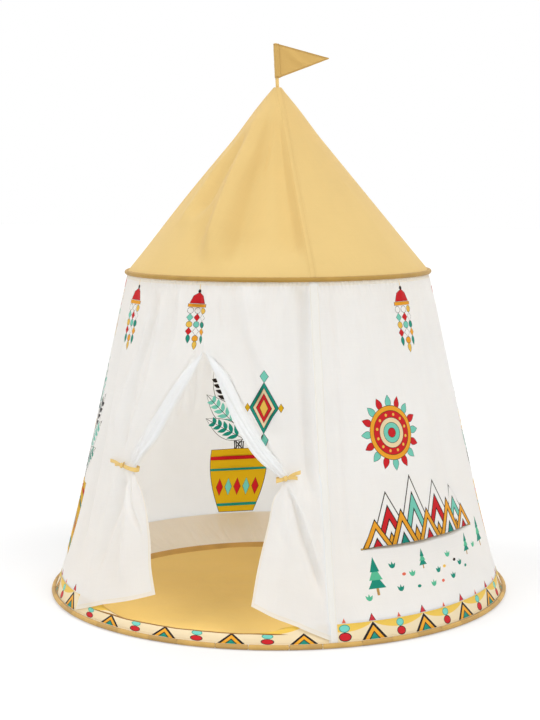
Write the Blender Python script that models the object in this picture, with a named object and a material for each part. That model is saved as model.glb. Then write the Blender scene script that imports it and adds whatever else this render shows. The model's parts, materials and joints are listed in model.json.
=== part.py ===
"""A round play tent: two hoops on three poles, a cone roof, a tied-back door and a flag.

Metres, +Z up. The origin is on the floor under the roof's tip, and the door faces -Y.
Angles are in degrees about Z, from the middle of the door towards +X.
"""

import math

import bmesh
import bpy
from mathutils import Matrix, Vector

# Frame: hoops, poles and roof rods
POLES = 3
POLE_PITCH = 360.0 / POLES
FIRST_POLE = 36.0  # the pole on the door's right
BASE_HOOP = (0.574, 0.006)  # radius and height of the hoop's centre line
EAVE_HOOP = (0.379, 0.804)
HOOP_ROD_R = 0.0027
ROD_STRAIGHT = 0.003  # a hoop rod is finely stepped this far past its sockets
WALL_POLE_R = 0.0034
ROOF_ROD_R = 0.0030
POLE_STATIONS = (0.0205, 0.046, 0.100, 0.250, 0.450, 0.640)
POLE_TOP = 0.7925
ROOF_ROD_SPAN = (0.8145, 1.2260)

# Moulded joints of the frame; a socket's heights are its closed end and its mouth
HOOP_SOCKET_R = 0.0040
HOOP_SOCKET_HALF = 0.018
POLE_SOCKET_R = 0.0049
ROOF_SOCKET_R = 0.0043
ROOF_SOCKET_ROOM = 0.0004  # from the roof cloth to a roof socket
SOCKET_PLAY = 0.00035
SOCKET_WEB = 0.0025
BORE_OVERRUN = 0.004  # how far a bore's cutter runs out of its mouth
NECK_SIZE = (0.008, 0.0046)  # width along the hoop, height
POST_R = 0.0025
BASE_POST_FOOT = (0.010, 0.0015)  # inwards of and below the hoop's centre line
BASE_POST_TOP = 0.0185
BASE_POLE_SOCKET = (0.0165, 0.0450)
EAVE_POST = (0.7935, 0.8135)
EAVE_POLE_SOCKET = (0.7950, 0.7670)
EAVE_ROOF_SOCKET = (0.8120, 0.8340)

# Cloth: the wall's outer face, the roof cone and the piping round both hoops
CLOTH = 0.0012
GAP = 0.0003
WALL_FOOT_R = 0.5568
WALL_TAPER = 0.2243
WALL_FLARE = 0.0165
WALL_FLARE_HEIGHT = 0.078
WALL_TOP = 0.7974
WALL_BOTTOM = 0.0485
APEX_Z = 1.264
ROOF_SLOPE = 0.8230
ROOF_BOTTOM = 0.8090
ROOF_TIP = 1.2563
PIPING_R = 0.006
PIPING_BORE = 0.0053
PIPING_SEAM_HALF = 35.0

# Border band at the foot of the wall, lower and rolled in where it is the door's sill
BAND_BOTTOM = 0.0105
BAND_TOP = 0.048
BAND_CLOTH = 0.0010
SILL_TOP = 0.0315
SILL_ROLL = 0.005
SILL_ANGLES = (17.0, 31.0)

# Pole pockets: a flat strip outside, a round pocket inside
POCKET_BOTTOM = 0.049
POCKET_HALF = 0.0105
POCKET_PROUD = 0.0022
POCKET_FACE = (-1, -0.55, 0, 0.55, 1)  # stations across the strip, as shares of its half width
POCKET_TURNS = (-20, -55, -90, -125, -160)  # stations round the inner side, in degrees
POCKET_BORE = 0.0056
POCKET_R = 0.0066
POLE_INSET = 0.0042
POLE_FOOT_INSET = 0.0070
INSET_HEIGHTS = (0.046, 0.100)

# Floor
SHEET_R = 0.5672
MAT_R = 0.455
MAT_FORWARD = 0.070
MAT_HEIGHTS = (0.0015, 0.0045)

# Door: angle of both sewn edges, height of its tip, of the ties and of the loose tails' upper edge
DOOR_SIDE = 36.0
DOOR_TIP = 0.6400
TIE_Z = 0.372
TAIL_TOP = 0.350
TAIL_SPLIT = 0.0012  # room between a curtain and its tail, which swings
TAIL_FOOT = 0.0135
TAIL_HINGE_GAP = 0.0020
# Free edge of each curtain as (height, angle): first down to the tie, then below it
LEFT_EDGE = ((0.640, 0.4), (0.563, 5.2), (0.516, 8.7), (0.430, 13.7), (0.372, 18.9), (0.344, 18.5))
RIGHT_EDGE = ((0.640, 0.4), (0.556, 6.2), (0.466, 12.2), (0.396, 19.2), (0.372, 23.0), (0.345, 23.8))
LEFT_TAIL = ((0.352, 18.8), (0.315, 15.8), (0.224, 11.5), (0.151, 9.6), (0.097, 7.3))
RIGHT_TAIL = ((0.352, 23.9), (0.324, 22.5), (0.270, 21.1), (0.174, 18.6), (0.090, 17.2))
HEM_CURVE = 0.15  # share of a tail's hem that sweeps up towards its free edge
WAIST_REACH = 0.030  # how far above and below a tie its pull shows
WAIST_SQUEEZE = 0.5  # share of a curtain's folds that the tie takes away
FLAT_SHARE = 0.35  # share of a curtain's width beside its sewn edge without gathers
GATHER = 0.0065
GATHER_FOLDS = 2.5
FOLD_FADE = 0.3  # share of the gathered width, and of the height, over which folds grow
EDGE_ROLL = 0.0085
EDGE_ROLL_AT = (0.90, 0.10)  # middle and width of the rolled edge, as shares of the curtain's width
TAIL_FOLD = 0.0060
TAIL_FOLDS = 3.0
TAIL_FOLD_TOP = 0.55  # share of its folds that a tail has at its upper edge
TAIL_FADES = (0.25, 0.4)  # shares of a tail's width and height over which its folds grow
TAIL_LIFT = 0.0030
HEADER_GATHER = 0.0030
HEADER_FOLDS = 5

# Ties of the left (-1) and right (1) curtain. Knots and ribbon ends are placed from the curtain's free edge;
# a ribbon end's second number is how far it hangs below the tie.
TIE_HALF_HEIGHT = 0.0075
TIE_REACH = 0.0125
TIE_ROOM = 0.002  # between the gathered cloth and the ribbon
TIE_LENGTH = 0.058
TIE_CLOTH = 0.0015
TIE_BEND_STEPS = 6
KNOT_SIZE = (0.007, 0.0045, 0.0060)
KNOT_ALONG = {-1: 0.048, 1: 0.020}
RIBBON_ENDS = {-1: ((0.105, 0.006), (0.088, 0.011)), 1: ((0.052, -0.005), (0.045, 0.009))}
RIBBON_END_R = (0.0030, 0.0022)

# Hub at the roof's tip, flagpole and flag
HUB_R = 0.0155
HUB_HEIGHTS = (1.2045, 1.2400)
HUB_BORE = 0.0068
HUB_SOCKET_HEIGHTS = (1.2061, 1.2400)
CUP_ROOM = 0.0006  # between the cup's floor and the flagpole's foot
POLE_PIVOT_Z = 1.256
FLAGPOLE_R = 0.0043
FLAGPOLE_LEAN = 2.5
FLAG_BEARING = 23.7  # the flag points this far round from +X towards +Y
FLAGPOLE_SPAN = (-0.0474, 0.1113)  # from the pivot along the pole
FLAGPOLE_TOP = (0.002, 0.0030)  # height and smaller radius of its bevelled end
FLAG_SPAN = (0.0262, 0.1098)
FLAG_LENGTH = 0.131
FLAG_TIP_HALF = 0.0012
FLAG_SLEEVE_R = 0.0060
FLAG_SLEEVE_BORE = 0.0047
FLAG_SEWN_IN = 0.0009  # how far the plate reaches into its sleeve's wall
FLAG_WAVE = 0.0040
FLAG_WAVE_SLANT = 0.4

# Faceting
RING_STEPS = 60
ROD_SIDES = 8
HUB_SIDES = 20
FLAG_SIDES = 12
BORE_SIDES = 10
RIBBON_SIDES = 6
PIPING_FACETS = (7, 6)  # outer and inner side of the folded strip
SHARP_ANGLE = 40.0

COLOURS = {
    "white_cotton": (0.82, 0.80, 0.76),
    "gold_cotton": (0.78, 0.58, 0.25),
    "gold_piping": (0.50, 0.34, 0.12),
    "cream_tape": (0.86, 0.80, 0.66),
    "border_print": (0.80, 0.64, 0.36),
    "gold_ribbon": (0.72, 0.52, 0.20),
    "ground_cloth": (0.66, 0.60, 0.52),
    "glass_fibre": (0.55, 0.55, 0.52),
    "moulded_joint": (0.80, 0.79, 0.76),
    "turned_wood": (0.62, 0.44, 0.24),
}


def clear_scene():
    for old in list(bpy.data.objects):
        bpy.data.objects.remove(old, do_unlink=True)


def make_material(slot):
    material = bpy.data.materials.new(slot)
    material.use_nodes = True
    shader = material.node_tree.nodes["Principled BSDF"]
    shader.inputs["Base Color"].default_value = (*COLOURS[slot], 1.0)
    hard = slot in ("glass_fibre", "moulded_joint", "turned_wood")
    shader.inputs["Roughness"].default_value = 0.45 if hard else 0.85
    shader.inputs["Metallic"].default_value = 0.0
    return material


def polar(radius, angle, z):
    """A point at a radius, an angle from the door's middle and a height."""
    turn = math.radians(angle)
    return Vector((radius * math.sin(turn), -radius * math.cos(turn), z))


def smooth_step(low, high, x):
    t = min(max((x - low) / (high - low), 0.0), 1.0)
    return t * t * (3.0 - 2.0 * t)


def smooth_through(points, x):
    """The value at x of a smooth curve through (x, value) points, level beyond its ends."""
    points = sorted(points)
    xs = [p[0] for p in points]
    ys = [p[1] for p in points]
    x = min(max(x, xs[0]), xs[-1])
    i = max(k for k in range(len(xs) - 1) if xs[k] <= x)

    def slope(k):
        a, b = max(k - 1, 0), min(k + 1, len(xs) - 1)
        return (ys[b] - ys[a]) / (xs[b] - xs[a])

    step = xs[i + 1] - xs[i]
    t = (x - xs[i]) / step
    rise = ys[i + 1] - ys[i]
    start, end = slope(i) * step, slope(i + 1) * step
    return ys[i] + t * start + t * t * (3 * rise - 2 * start - end) + t**3 * (start + end - 2 * rise)


def wall_radius(z):
    """Outer face of the wall: a straight taper that flares at the foot."""
    return WALL_FOOT_R - WALL_TAPER * z + WALL_FLARE * math.exp(-z / WALL_FLARE_HEIGHT)


def roof_radius(z):
    return ROOF_SLOPE * (APEX_Z - z)


def pole_inset(z):
    """How far the pole's axis lies inside the wall's outer face."""
    down = 1.0 - smooth_step(*INSET_HEIGHTS, z)
    return POLE_INSET + (POLE_FOOT_INSET - POLE_INSET) * down


def pole_point(z):
    """The wall pole's axis, on a pole that stands in the door's middle."""
    return polar(wall_radius(z) - pole_inset(z), 0.0, z)


def roof_rod_point(z):
    """The roof rod's axis, just under the roof cloth."""
    tilt = math.atan(ROOF_SLOPE)
    inset = (CLOTH + ROOF_SOCKET_ROOM + ROOF_SOCKET_R) / math.cos(tilt)
    return polar(roof_radius(z) - inset, 0.0, z)


def strip_edge(z, gap):
    """Angle from a pole to the side of its pocket strip, plus a gap, at a height."""
    return math.degrees(math.asin((POCKET_HALF + gap) / wall_radius(z)))


def mesh_from(bm):
    bmesh.ops.recalc_face_normals(bm, faces=bm.faces)
    mesh = bpy.data.meshes.new("shape")
    bm.to_mesh(mesh)
    bm.free()
    return mesh


def tube(points, radii, sides=ROD_SIDES):
    """A closed rod through points; radii is one radius or one for each point."""
    if not isinstance(radii, (list, tuple)):
        radii = [radii] * len(points)
    bm = bmesh.new()
    rings = []
    for i, point in enumerate(points):
        ahead = points[min(i + 1, len(points) - 1)] - points[max(i - 1, 0)]
        across = ahead.cross(Vector((0, 0, 1)))
        if across.length < 1e-6 * ahead.length:
            across = Vector((1, 0, 0))
        across.normalize()
        over = across.cross(ahead).normalized()
        turns = [math.tau * k / sides for k in range(sides)]
        ring = [point + radii[i] * (across * math.cos(t) + over * math.sin(t)) for t in turns]
        rings.append([bm.verts.new(corner) for corner in ring])
    for low, high in zip(rings, rings[1:]):
        for k in range(sides):
            bm.faces.new((low[k], low[(k + 1) % sides], high[(k + 1) % sides], high[k]))
    bm.faces.new(rings[0])
    bm.faces.new(rings[-1])
    return mesh_from(bm)


def box(size, centre):
    bm = bmesh.new()
    bmesh.ops.create_cube(bm, size=1.0, matrix=Matrix.Translation(centre) @ Matrix.Diagonal((*size, 1.0)))
    return mesh_from(bm)


def arc(hoop, start, end, steps):
    """Points on a hoop's centre line between two distances from a pole."""
    radius, z = hoop
    spots = [start + (end - start) * k / steps for k in range(steps + 1)]
    return [polar(radius, math.degrees(s / radius), z) for s in spots]


def turned(section, steps):
    """A closed (radius, height) outline turned once about Z."""
    bm = bmesh.new()
    verts = [bm.verts.new((0.0, -r, z)) for r, z in section]
    edges = [bm.edges.new((verts[k - 1], verts[k])) for k in range(len(verts))]
    bmesh.ops.spin(
        bm, geom=verts + edges, cent=(0, 0, 0), axis=(0, 0, 1), angle=math.tau, steps=steps, use_merge=True
    )
    return mesh_from(bm)


def disc(radius, heights, steps, forward=0.0):
    bm = bmesh.new()
    low, high = heights
    spots = [polar(radius, 360.0 * k / steps, low) - Vector((0, forward, 0)) for k in range(steps)]
    face = bm.faces.new([bm.verts.new(spot) for spot in spots])
    raised = bmesh.ops.extrude_face_region(bm, geom=[face])
    lifted = [v for v in raised["geom"] if isinstance(v, bmesh.types.BMVert)]
    bmesh.ops.translate(bm, verts=lifted, vec=(0, 0, high - low))
    return mesh_from(bm)


def grid(surface, columns, rows, closed=False):
    """An open sheet of surface(u, v) points, u round the tent and v upwards."""
    bm = bmesh.new()
    count = columns if closed else columns + 1
    verts = [[bm.verts.new(surface(i / columns, j / rows)) for j in range(rows + 1)] for i in range(count)]
    for i in range(columns):
        a, b = verts[i], verts[(i + 1) % count]
        for j in range(rows):
            bm.faces.new((a[j], b[j], b[j + 1], a[j + 1]))
    mesh = bpy.data.meshes.new("sheet")
    bm.to_mesh(mesh)
    bm.free()
    return mesh


def helper(mesh):
    obj = bpy.data.objects.new("helper", mesh)
    bpy.context.scene.collection.objects.link(obj)
    return obj


def baked(obj, helpers=()):
    """The evaluated mesh of an object, which is removed with its helpers."""
    bpy.context.view_layer.update()
    graph = bpy.context.evaluated_depsgraph_get()
    mesh = bpy.data.meshes.new_from_object(obj.evaluated_get(graph))
    for old in (obj, *helpers):
        bpy.data.objects.remove(old, do_unlink=True)
    return mesh


def carved(parts, cuts=()):
    """Closed meshes joined into one body, less the shapes cut out of it."""
    target = helper(parts[0])
    helpers = []
    for kind, meshes in (("UNION", parts[1:]), ("DIFFERENCE", cuts)):
        for mesh in meshes:
            helpers.append(helper(mesh))
            cut = target.modifiers.new(kind, "BOOLEAN")
            cut.operation = kind
            cut.solver = "EXACT"
            cut.object = helpers[-1]
    return baked(target, helpers)


def thickened(mesh, thickness):
    """An open sheet made a closed solid, growing inwards from its outer face."""
    obj = helper(mesh)
    solid = obj.modifiers.new("cloth", "SOLIDIFY")
    solid.thickness = thickness
    solid.offset = -1.0
    return baked(obj)


class Tent:
    """Places the pieces, each as one named object with its own material."""

    def __init__(self):
        self.materials = {}

    def add(self, name, mesh, slot, turn=0.0, pivot=None):
        if slot not in self.materials:
            self.materials[slot] = make_material(slot)
        mesh.shade_smooth()
        mesh.set_sharp_from_angle(angle=math.radians(SHARP_ANGLE))
        if not mesh.materials:
            mesh.materials.append(self.materials[slot])
        obj = bpy.data.objects.new(name, mesh)
        bpy.context.scene.collection.objects.link(obj)
        obj.rotation_euler.z = math.radians(turn)
        if pivot:
            bpy.context.view_layer.update()
            obj.parent = pivot
            obj.matrix_parent_inverse = pivot.matrix_world.inverted()
        return obj

    def add_at_poles(self, name, mesh, slot):
        for k in range(POLES):
            self.add(f"{name}_{k + 1}", mesh, slot, FIRST_POLE + k * POLE_PITCH)

    def pivot(self, name, place, axis):
        """An empty on a joint's axis, with its Z along the axis."""
        empty = bpy.data.objects.new(name, None)
        empty.location = place
        empty.rotation_mode = "QUATERNION"
        empty.rotation_quaternion = axis.to_track_quat("Z", "Y")
        empty.empty_display_size = 0.05
        bpy.context.scene.collection.objects.link(empty)
        return empty


# The frame of rods


def frame_joint(hoop, post, pole_socket, roof_socket=None):
    """A moulded joint: a hoop socket, a neck, a post and the pole's sockets."""
    radius, z = hoop
    half = HOOP_SOCKET_HALF
    width, height = NECK_SIZE
    low, high = post
    at_hoop = low.lerp(high, (z - low.z) / (high.z - low.z))
    depth = radius + at_hoop.y
    parts = [
        tube(arc(hoop, -half, half, 4), HOOP_SOCKET_R),
        box((width, depth, height), Vector((0, -radius + depth / 2, z))),
        tube(list(post), POST_R),
        tube(list(pole_socket), POLE_SOCKET_R),
    ]
    bore = HOOP_ROD_R + SOCKET_PLAY
    cuts = [tube(arc(hoop, side * SOCKET_WEB, side * (half + BORE_OVERRUN), 3), bore) for side in (-1, 1)]
    cuts.append(socket_bore(pole_socket, WALL_POLE_R))
    if roof_socket:
        parts.append(tube(list(roof_socket), ROOF_SOCKET_R))
        cuts.append(socket_bore(roof_socket, ROOF_ROD_R))
    return carved(parts, cuts)


def socket_bore(socket, rod_radius):
    """The blind bore of a socket that runs from its closed end to its mouth."""
    closed, mouth = socket
    along = (mouth - closed).normalized()
    return tube([closed + along * SOCKET_WEB, mouth + along * BORE_OVERRUN], rod_radius + SOCKET_PLAY)


def build_frame(tent):
    base_r, base_z = BASE_HOOP
    inwards, below = BASE_POST_FOOT
    foot = (polar(base_r - inwards, 0, base_z - below), pole_point(BASE_POST_TOP))
    base_joint = frame_joint(BASE_HOOP, foot, [pole_point(z) for z in BASE_POLE_SOCKET])
    tent.add_at_poles("base_connector", base_joint, "moulded_joint")

    low, high = EAVE_POST
    eave_joint = frame_joint(
        EAVE_HOOP,
        (pole_point(low), roof_rod_point(high)),
        [pole_point(z) for z in EAVE_POLE_SOCKET],
        [roof_rod_point(z) for z in EAVE_ROOF_SOCKET],
    )
    tent.add_at_poles("eave_connector", eave_joint, "moulded_joint")

    for name, hoop in (("base_hoop_rod", BASE_HOOP), ("eave_hoop_rod", EAVE_HOOP)):
        length = math.radians(POLE_PITCH) * hoop[0]
        end, mouth = SOCKET_WEB + GAP, HOOP_SOCKET_HALF + ROD_STRAIGHT
        points = [
            *arc(hoop, end, mouth, 2),
            *arc(hoop, mouth, length - mouth, 14)[1:-1],
            *arc(hoop, length - mouth, length - end, 2),
        ]
        tent.add_at_poles(name, tube(points, HOOP_ROD_R), "glass_fibre")

    heights = (*POLE_STATIONS, POLE_TOP - GAP - SOCKET_WEB)
    tent.add_at_poles("wall_pole", tube([pole_point(z) for z in heights], WALL_POLE_R), "glass_fibre")
    roof_rod = tube([roof_rod_point(z) for z in ROOF_ROD_SPAN], ROOF_ROD_R)
    tent.add_at_poles("roof_rod", roof_rod, "glass_fibre")


def build_hub(tent):
    """The hub under the roof's tip: a cup for the flagpole and a socket for each rod."""
    low, high = HUB_HEIGHTS
    mouth, root = HUB_SOCKET_HEIGHTS
    sockets = []
    bores = []
    for k in range(POLES):
        turn = Matrix.Rotation(math.radians(FIRST_POLE + k * POLE_PITCH), 3, "Z")
        outer, inner = turn @ roof_rod_point(mouth), turn @ roof_rod_point(root)
        seat = turn @ roof_rod_point(ROOF_ROD_SPAN[1] + GAP / 2)
        past_mouth = outer + (outer - inner).normalized() * BORE_OVERRUN
        sockets.append(tube([outer, inner], ROOF_SOCKET_R))
        bores.append(tube([past_mouth, seat], ROOF_ROD_R + SOCKET_PLAY))
    body = tube([Vector((0, 0, low)), Vector((0, 0, high))], HUB_R, HUB_SIDES)
    floor_z = POLE_PIVOT_Z + FLAGPOLE_SPAN[0] * math.cos(math.radians(FLAGPOLE_LEAN)) - CUP_ROOM
    cup = tube([Vector((0, 0, floor_z)), Vector((0, 0, high + BORE_OVERRUN))], HUB_BORE, HUB_SIDES)
    tent.add("apex_hub", carved([body, *sockets], [*bores, cup]), "moulded_joint")


# The cloth


def build_roof(tent):
    def gore(u, v):
        z = ROOF_BOTTOM + v * (ROOF_TIP - ROOF_BOTTOM)
        radius = roof_radius(z)
        inset = math.degrees(math.asin(GAP / 2 / radius))
        return polar(radius, inset + u * (POLE_PITCH - 2 * inset), z)

    tent.add_at_poles("roof_gore", thickened(grid(gore, 20, 1), CLOTH), "gold_cotton")


def piping_section(hoop):
    """A folded strip round a hoop, open where the frame's joints come through."""
    radius, z = hoop

    def run(r, count, backwards):
        sweep = 360.0 - 2 * PIPING_SEAM_HALF
        turns = [180.0 + PIPING_SEAM_HALF + sweep * k / count for k in range(count + 1)]
        turns = turns[::-1] if backwards else turns
        return [(radius + r * math.cos(math.radians(t)), z + r * math.sin(math.radians(t))) for t in turns]

    outer, inner = PIPING_FACETS
    return run(PIPING_R, outer, False) + run(PIPING_BORE, inner, True)


def band_surface(u, v):
    """The border band, lower and rolled in across the door."""
    angle = 360.0 * u
    from_door = min(angle, 360.0 - angle)
    sill = 1.0 - smooth_step(*SILL_ANGLES, from_door)
    top = BAND_TOP + (SILL_TOP - BAND_TOP) * sill
    z = BAND_BOTTOM + v * (top - BAND_BOTTOM)
    return polar(wall_radius(z) - SILL_ROLL * sill * v**3, angle, z)


def build_rims(tent):
    tent.add("base_piping", turned(piping_section(BASE_HOOP), RING_STEPS), "gold_piping")
    tent.add("eave_piping", turned(piping_section(EAVE_HOOP), RING_STEPS), "gold_piping")
    band = thickened(grid(band_surface, RING_STEPS, 2, closed=True), BAND_CLOTH)
    tent.add("border_band", band, "border_print")
    tent.add("ground_sheet", disc(SHEET_R, (0.0, CLOTH), RING_STEPS), "ground_cloth")
    tent.add("floor_mat", disc(MAT_R, MAT_HEIGHTS, RING_STEPS, MAT_FORWARD), "gold_cotton")


def pocket_outline(z):
    """Points round a pole pocket at a height, as (along the wall, outwards)."""
    inset = pole_inset(z)
    outside = [(POCKET_HALF * f, POCKET_PROUD * (1 - f * f)) for f in POCKET_FACE]
    turns = [math.radians(t) for t in POCKET_TURNS]
    round_pole = [(POCKET_R * math.cos(t), POCKET_R * math.sin(t) - inset) for t in turns]
    flange = [(POCKET_HALF, -CLOTH), (POCKET_R + GAP, -2 * CLOTH)]
    return outside + flange + round_pole + [(-x, y) for x, y in reversed(flange)]


def pocket_solid(heights, outline):
    """A closed solid through one outline at each height, at the wall's outer face."""
    bm = bmesh.new()
    rings = []
    for z in heights:
        rings.append([bm.verts.new((x, -wall_radius(z) - y, z)) for x, y in outline(z)])
    count = len(rings[0])
    for low, high in zip(rings, rings[1:]):
        for k in range(count):
            bm.faces.new((low[k], low[(k + 1) % count], high[(k + 1) % count], high[k]))
    bm.faces.new(rings[0])
    bm.faces.new(rings[-1])
    return mesh_from(bm)


def build_pockets(tent):
    def bore_outline(z):
        turns = [math.tau * k / BORE_SIDES for k in range(BORE_SIDES)]
        return [(POCKET_BORE * math.cos(t), POCKET_BORE * math.sin(t) - pole_inset(z)) for t in turns]

    heights = (POCKET_BOTTOM, *POLE_STATIONS[2:], WALL_TOP)
    bore_heights = (POCKET_BOTTOM - BORE_OVERRUN, *POLE_STATIONS[2:], WALL_TOP + BORE_OVERRUN)
    pocket = carved([pocket_solid(heights, pocket_outline)], [pocket_solid(bore_heights, bore_outline)])
    tent.add_at_poles("pole_pocket", pocket, "cream_tape")


def build_walls(tent):
    """The wall cloth from pole to pole, and from the last pole to the left curtain."""

    def panel(width, at_pole, columns):
        """A panel that starts beside a pole and ends beside another, or beside the curtain."""

        def surface(u, v):
            z = WALL_BOTTOM + v * (WALL_TOP - WALL_BOTTOM)
            start = strip_edge(z, GAP)
            end = width - start if at_pole else width + strip_edge(z, 0.0)
            return polar(wall_radius(z), start + u * (end - start), z)

        return thickened(grid(surface, columns, 6), CLOTH)

    full = panel(POLE_PITCH, True, 16)
    for k, name in enumerate(("right", "back")):
        tent.add(f"wall_panel_{name}", full, "white_cotton", FIRST_POLE + k * POLE_PITCH)
    last_pole = FIRST_POLE - POLE_PITCH
    left = panel(-DOOR_SIDE - last_pole, False, 6)
    tent.add("wall_panel_left", left, "white_cotton", last_pole)


# The door


def header_surface(u, v):
    """The cloth over the door, softly gathered under the eave."""
    z = DOOR_TIP + GAP + v * (WALL_TOP - DOOR_TIP - GAP)
    edge = DOOR_SIDE - strip_edge(z, GAP)
    gather = HEADER_GATHER * math.sin(math.pi * v) * math.sin(math.pi * u)
    fold = gather * math.sin(math.tau * HEADER_FOLDS * u)
    return polar(wall_radius(z) + fold, -edge + 2 * edge * u, z)


def waist(z):
    """How far a tie draws the cloth in at a height: 1 at the tie, 0 away from it."""
    return math.exp(-(((z - TIE_Z) / WAIST_REACH) ** 2))


def curtain_fold(u, z):
    """Radial folds of a curtain above its tie; u runs from its sewn edge to its free edge."""
    down = smooth_step(DOOR_TIP, TIE_Z, z)
    across = max(0.0, (u - FLAT_SHARE) / (1.0 - FLAT_SHARE))
    squeeze = 1.0 - WAIST_SQUEEZE * waist(z)
    gathers = GATHER * down * smooth_step(0.0, FOLD_FADE, across) * math.sin(math.tau * GATHER_FOLDS * across)
    middle, width = EDGE_ROLL_AT
    roll = EDGE_ROLL * smooth_step(0.0, FOLD_FADE, down) * math.exp(-(((u - middle) / width) ** 2))
    return squeeze * (gathers + roll)


def tail_fold(u, t):
    """Folds of a loose tail, all outside the border band; t runs down from 0 to 1."""
    across, along = TAIL_FADES
    spread = TAIL_FOLD * (TAIL_FOLD_TOP + (1.0 - TAIL_FOLD_TOP) * smooth_step(0.0, along, t))
    depth = spread * smooth_step(0.0, across, u)
    return TAIL_LIFT + depth * (1.0 - math.cos(math.tau * TAIL_FOLDS * u))


def curtain_surface(side, edge):
    """side is -1 for the left curtain and 1 for the right one."""

    def surface(u, v):
        low = TAIL_TOP + TAIL_SPLIT
        z = low + v * (DOOR_TIP - low)
        across = u if side < 0 else 1.0 - u
        outer = DOOR_SIDE - strip_edge(z, GAP)
        free = smooth_through(edge, z)
        return polar(wall_radius(z) + curtain_fold(across, z), side * (outer + across * (free - outer)), z)

    return surface


def tail_surface(side, edge):
    foot = edge[-1][0]

    def surface(u, v):
        across = u if side < 0 else 1.0 - u
        hem = TAIL_FOOT + (foot - TAIL_FOOT) * ((1.0 - HEM_CURVE) * across + HEM_CURVE * across**3)
        z = hem + v * (TAIL_TOP - hem)
        t = 1.0 - v
        outer = DOOR_SIDE - strip_edge(z, TAIL_HINGE_GAP)
        free = smooth_through(edge, z)
        radius = wall_radius(z) + tail_fold(across, t)
        return polar(radius, side * (outer + across * (free - outer)), z)

    return surface


def tail_axis(side):
    """Two points on the line that a tail swings about: its sewn edge."""
    ends = []
    for z in (TAIL_FOOT, TAIL_TOP):
        angle = DOOR_SIDE - strip_edge(z, TAIL_HINGE_GAP)
        ends.append(polar(wall_radius(z) + TAIL_LIFT, side * angle, z))
    return ends


def tie_mesh(side, edge):
    """A ribbon round the curtain's free edge, open towards its sewn edge, with a knot and tails."""
    turns = [math.radians(90 + 180 * k / TIE_BEND_STEPS) for k in range(TIE_BEND_STEPS + 1)]
    bend = [(TIE_ROOM + TIE_REACH * math.cos(t), TIE_REACH * math.sin(t)) for t in turns]
    path = [(TIE_LENGTH, TIE_REACH), (TIE_LENGTH / 2, TIE_REACH), *bend]
    path += [(TIE_LENGTH / 2, -TIE_REACH), (TIE_LENGTH, -TIE_REACH)]
    path = path[::-1] if side > 0 else path

    def spot(along, out, z):
        radius = wall_radius(z) - CLOTH / 2 + out
        return polar(radius, side * (smooth_through(edge, z) + math.degrees(along / radius)), z)

    def ribbon(u, v):
        along, out = path[round(u * (len(path) - 1))]
        return spot(along, out, TIE_Z + TIE_HALF_HEIGHT * (2 * v - 1))

    band = thickened(grid(ribbon, len(path) - 1, 1), TIE_CLOTH)
    knot_centre = spot(KNOT_ALONG[side], TIE_REACH + TIE_ROOM, TIE_Z)
    turn = Matrix.Rotation(math.atan2(knot_centre.x, -knot_centre.y), 4, "Z")
    bm = bmesh.new()
    place = Matrix.Translation(knot_centre) @ turn @ Matrix.Diagonal((*KNOT_SIZE, 1))
    bmesh.ops.create_icosphere(bm, subdivisions=1, radius=1.0, matrix=place)
    knot = mesh_from(bm)
    tails = [
        tube([knot_centre, spot(along, TIE_REACH + 2 * TIE_ROOM, TIE_Z - drop)], RIBBON_END_R, RIBBON_SIDES)
        for along, drop in RIBBON_ENDS[side]
    ]
    return carved([band, knot, *tails])


def build_door(tent):
    tent.add("door_header", thickened(grid(header_surface, 20, 4), CLOTH), "white_cotton")
    for side, name, edge, tail_edge in (
        (-1, "left", LEFT_EDGE, LEFT_TAIL),
        (1, "right", RIGHT_EDGE, RIGHT_TAIL),
    ):
        curtain = thickened(grid(curtain_surface(side, edge), 20, 12), CLOTH)
        tent.add(f"{name}_curtain", curtain, "white_cotton")
        low, high = tail_axis(side)
        pivot = tent.pivot(f"{name}_tail_hinge", low, (high - low) * side)
        tail = thickened(grid(tail_surface(side, tail_edge), 20, 8), CLOTH)
        tent.add(f"{name}_curtain_tail", tail, "white_cotton", pivot=pivot)
        tent.add(f"{name}_tie", tie_mesh(side, edge), "gold_ribbon")


# The flag


def flag_axes():
    """The pole's foot on the pivot, its axis, and the way that the flag points."""
    bearing, lean = math.radians(FLAG_BEARING), math.radians(FLAGPOLE_LEAN)
    across = Vector((math.cos(bearing), math.sin(bearing), 0.0))
    axis = Vector((0, 0, 1)) * math.cos(lean) - across * math.sin(lean)
    out = across * math.cos(lean) + Vector((0, 0, 1)) * math.sin(lean)
    return Vector((0, 0, POLE_PIVOT_Z)), axis, out


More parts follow.
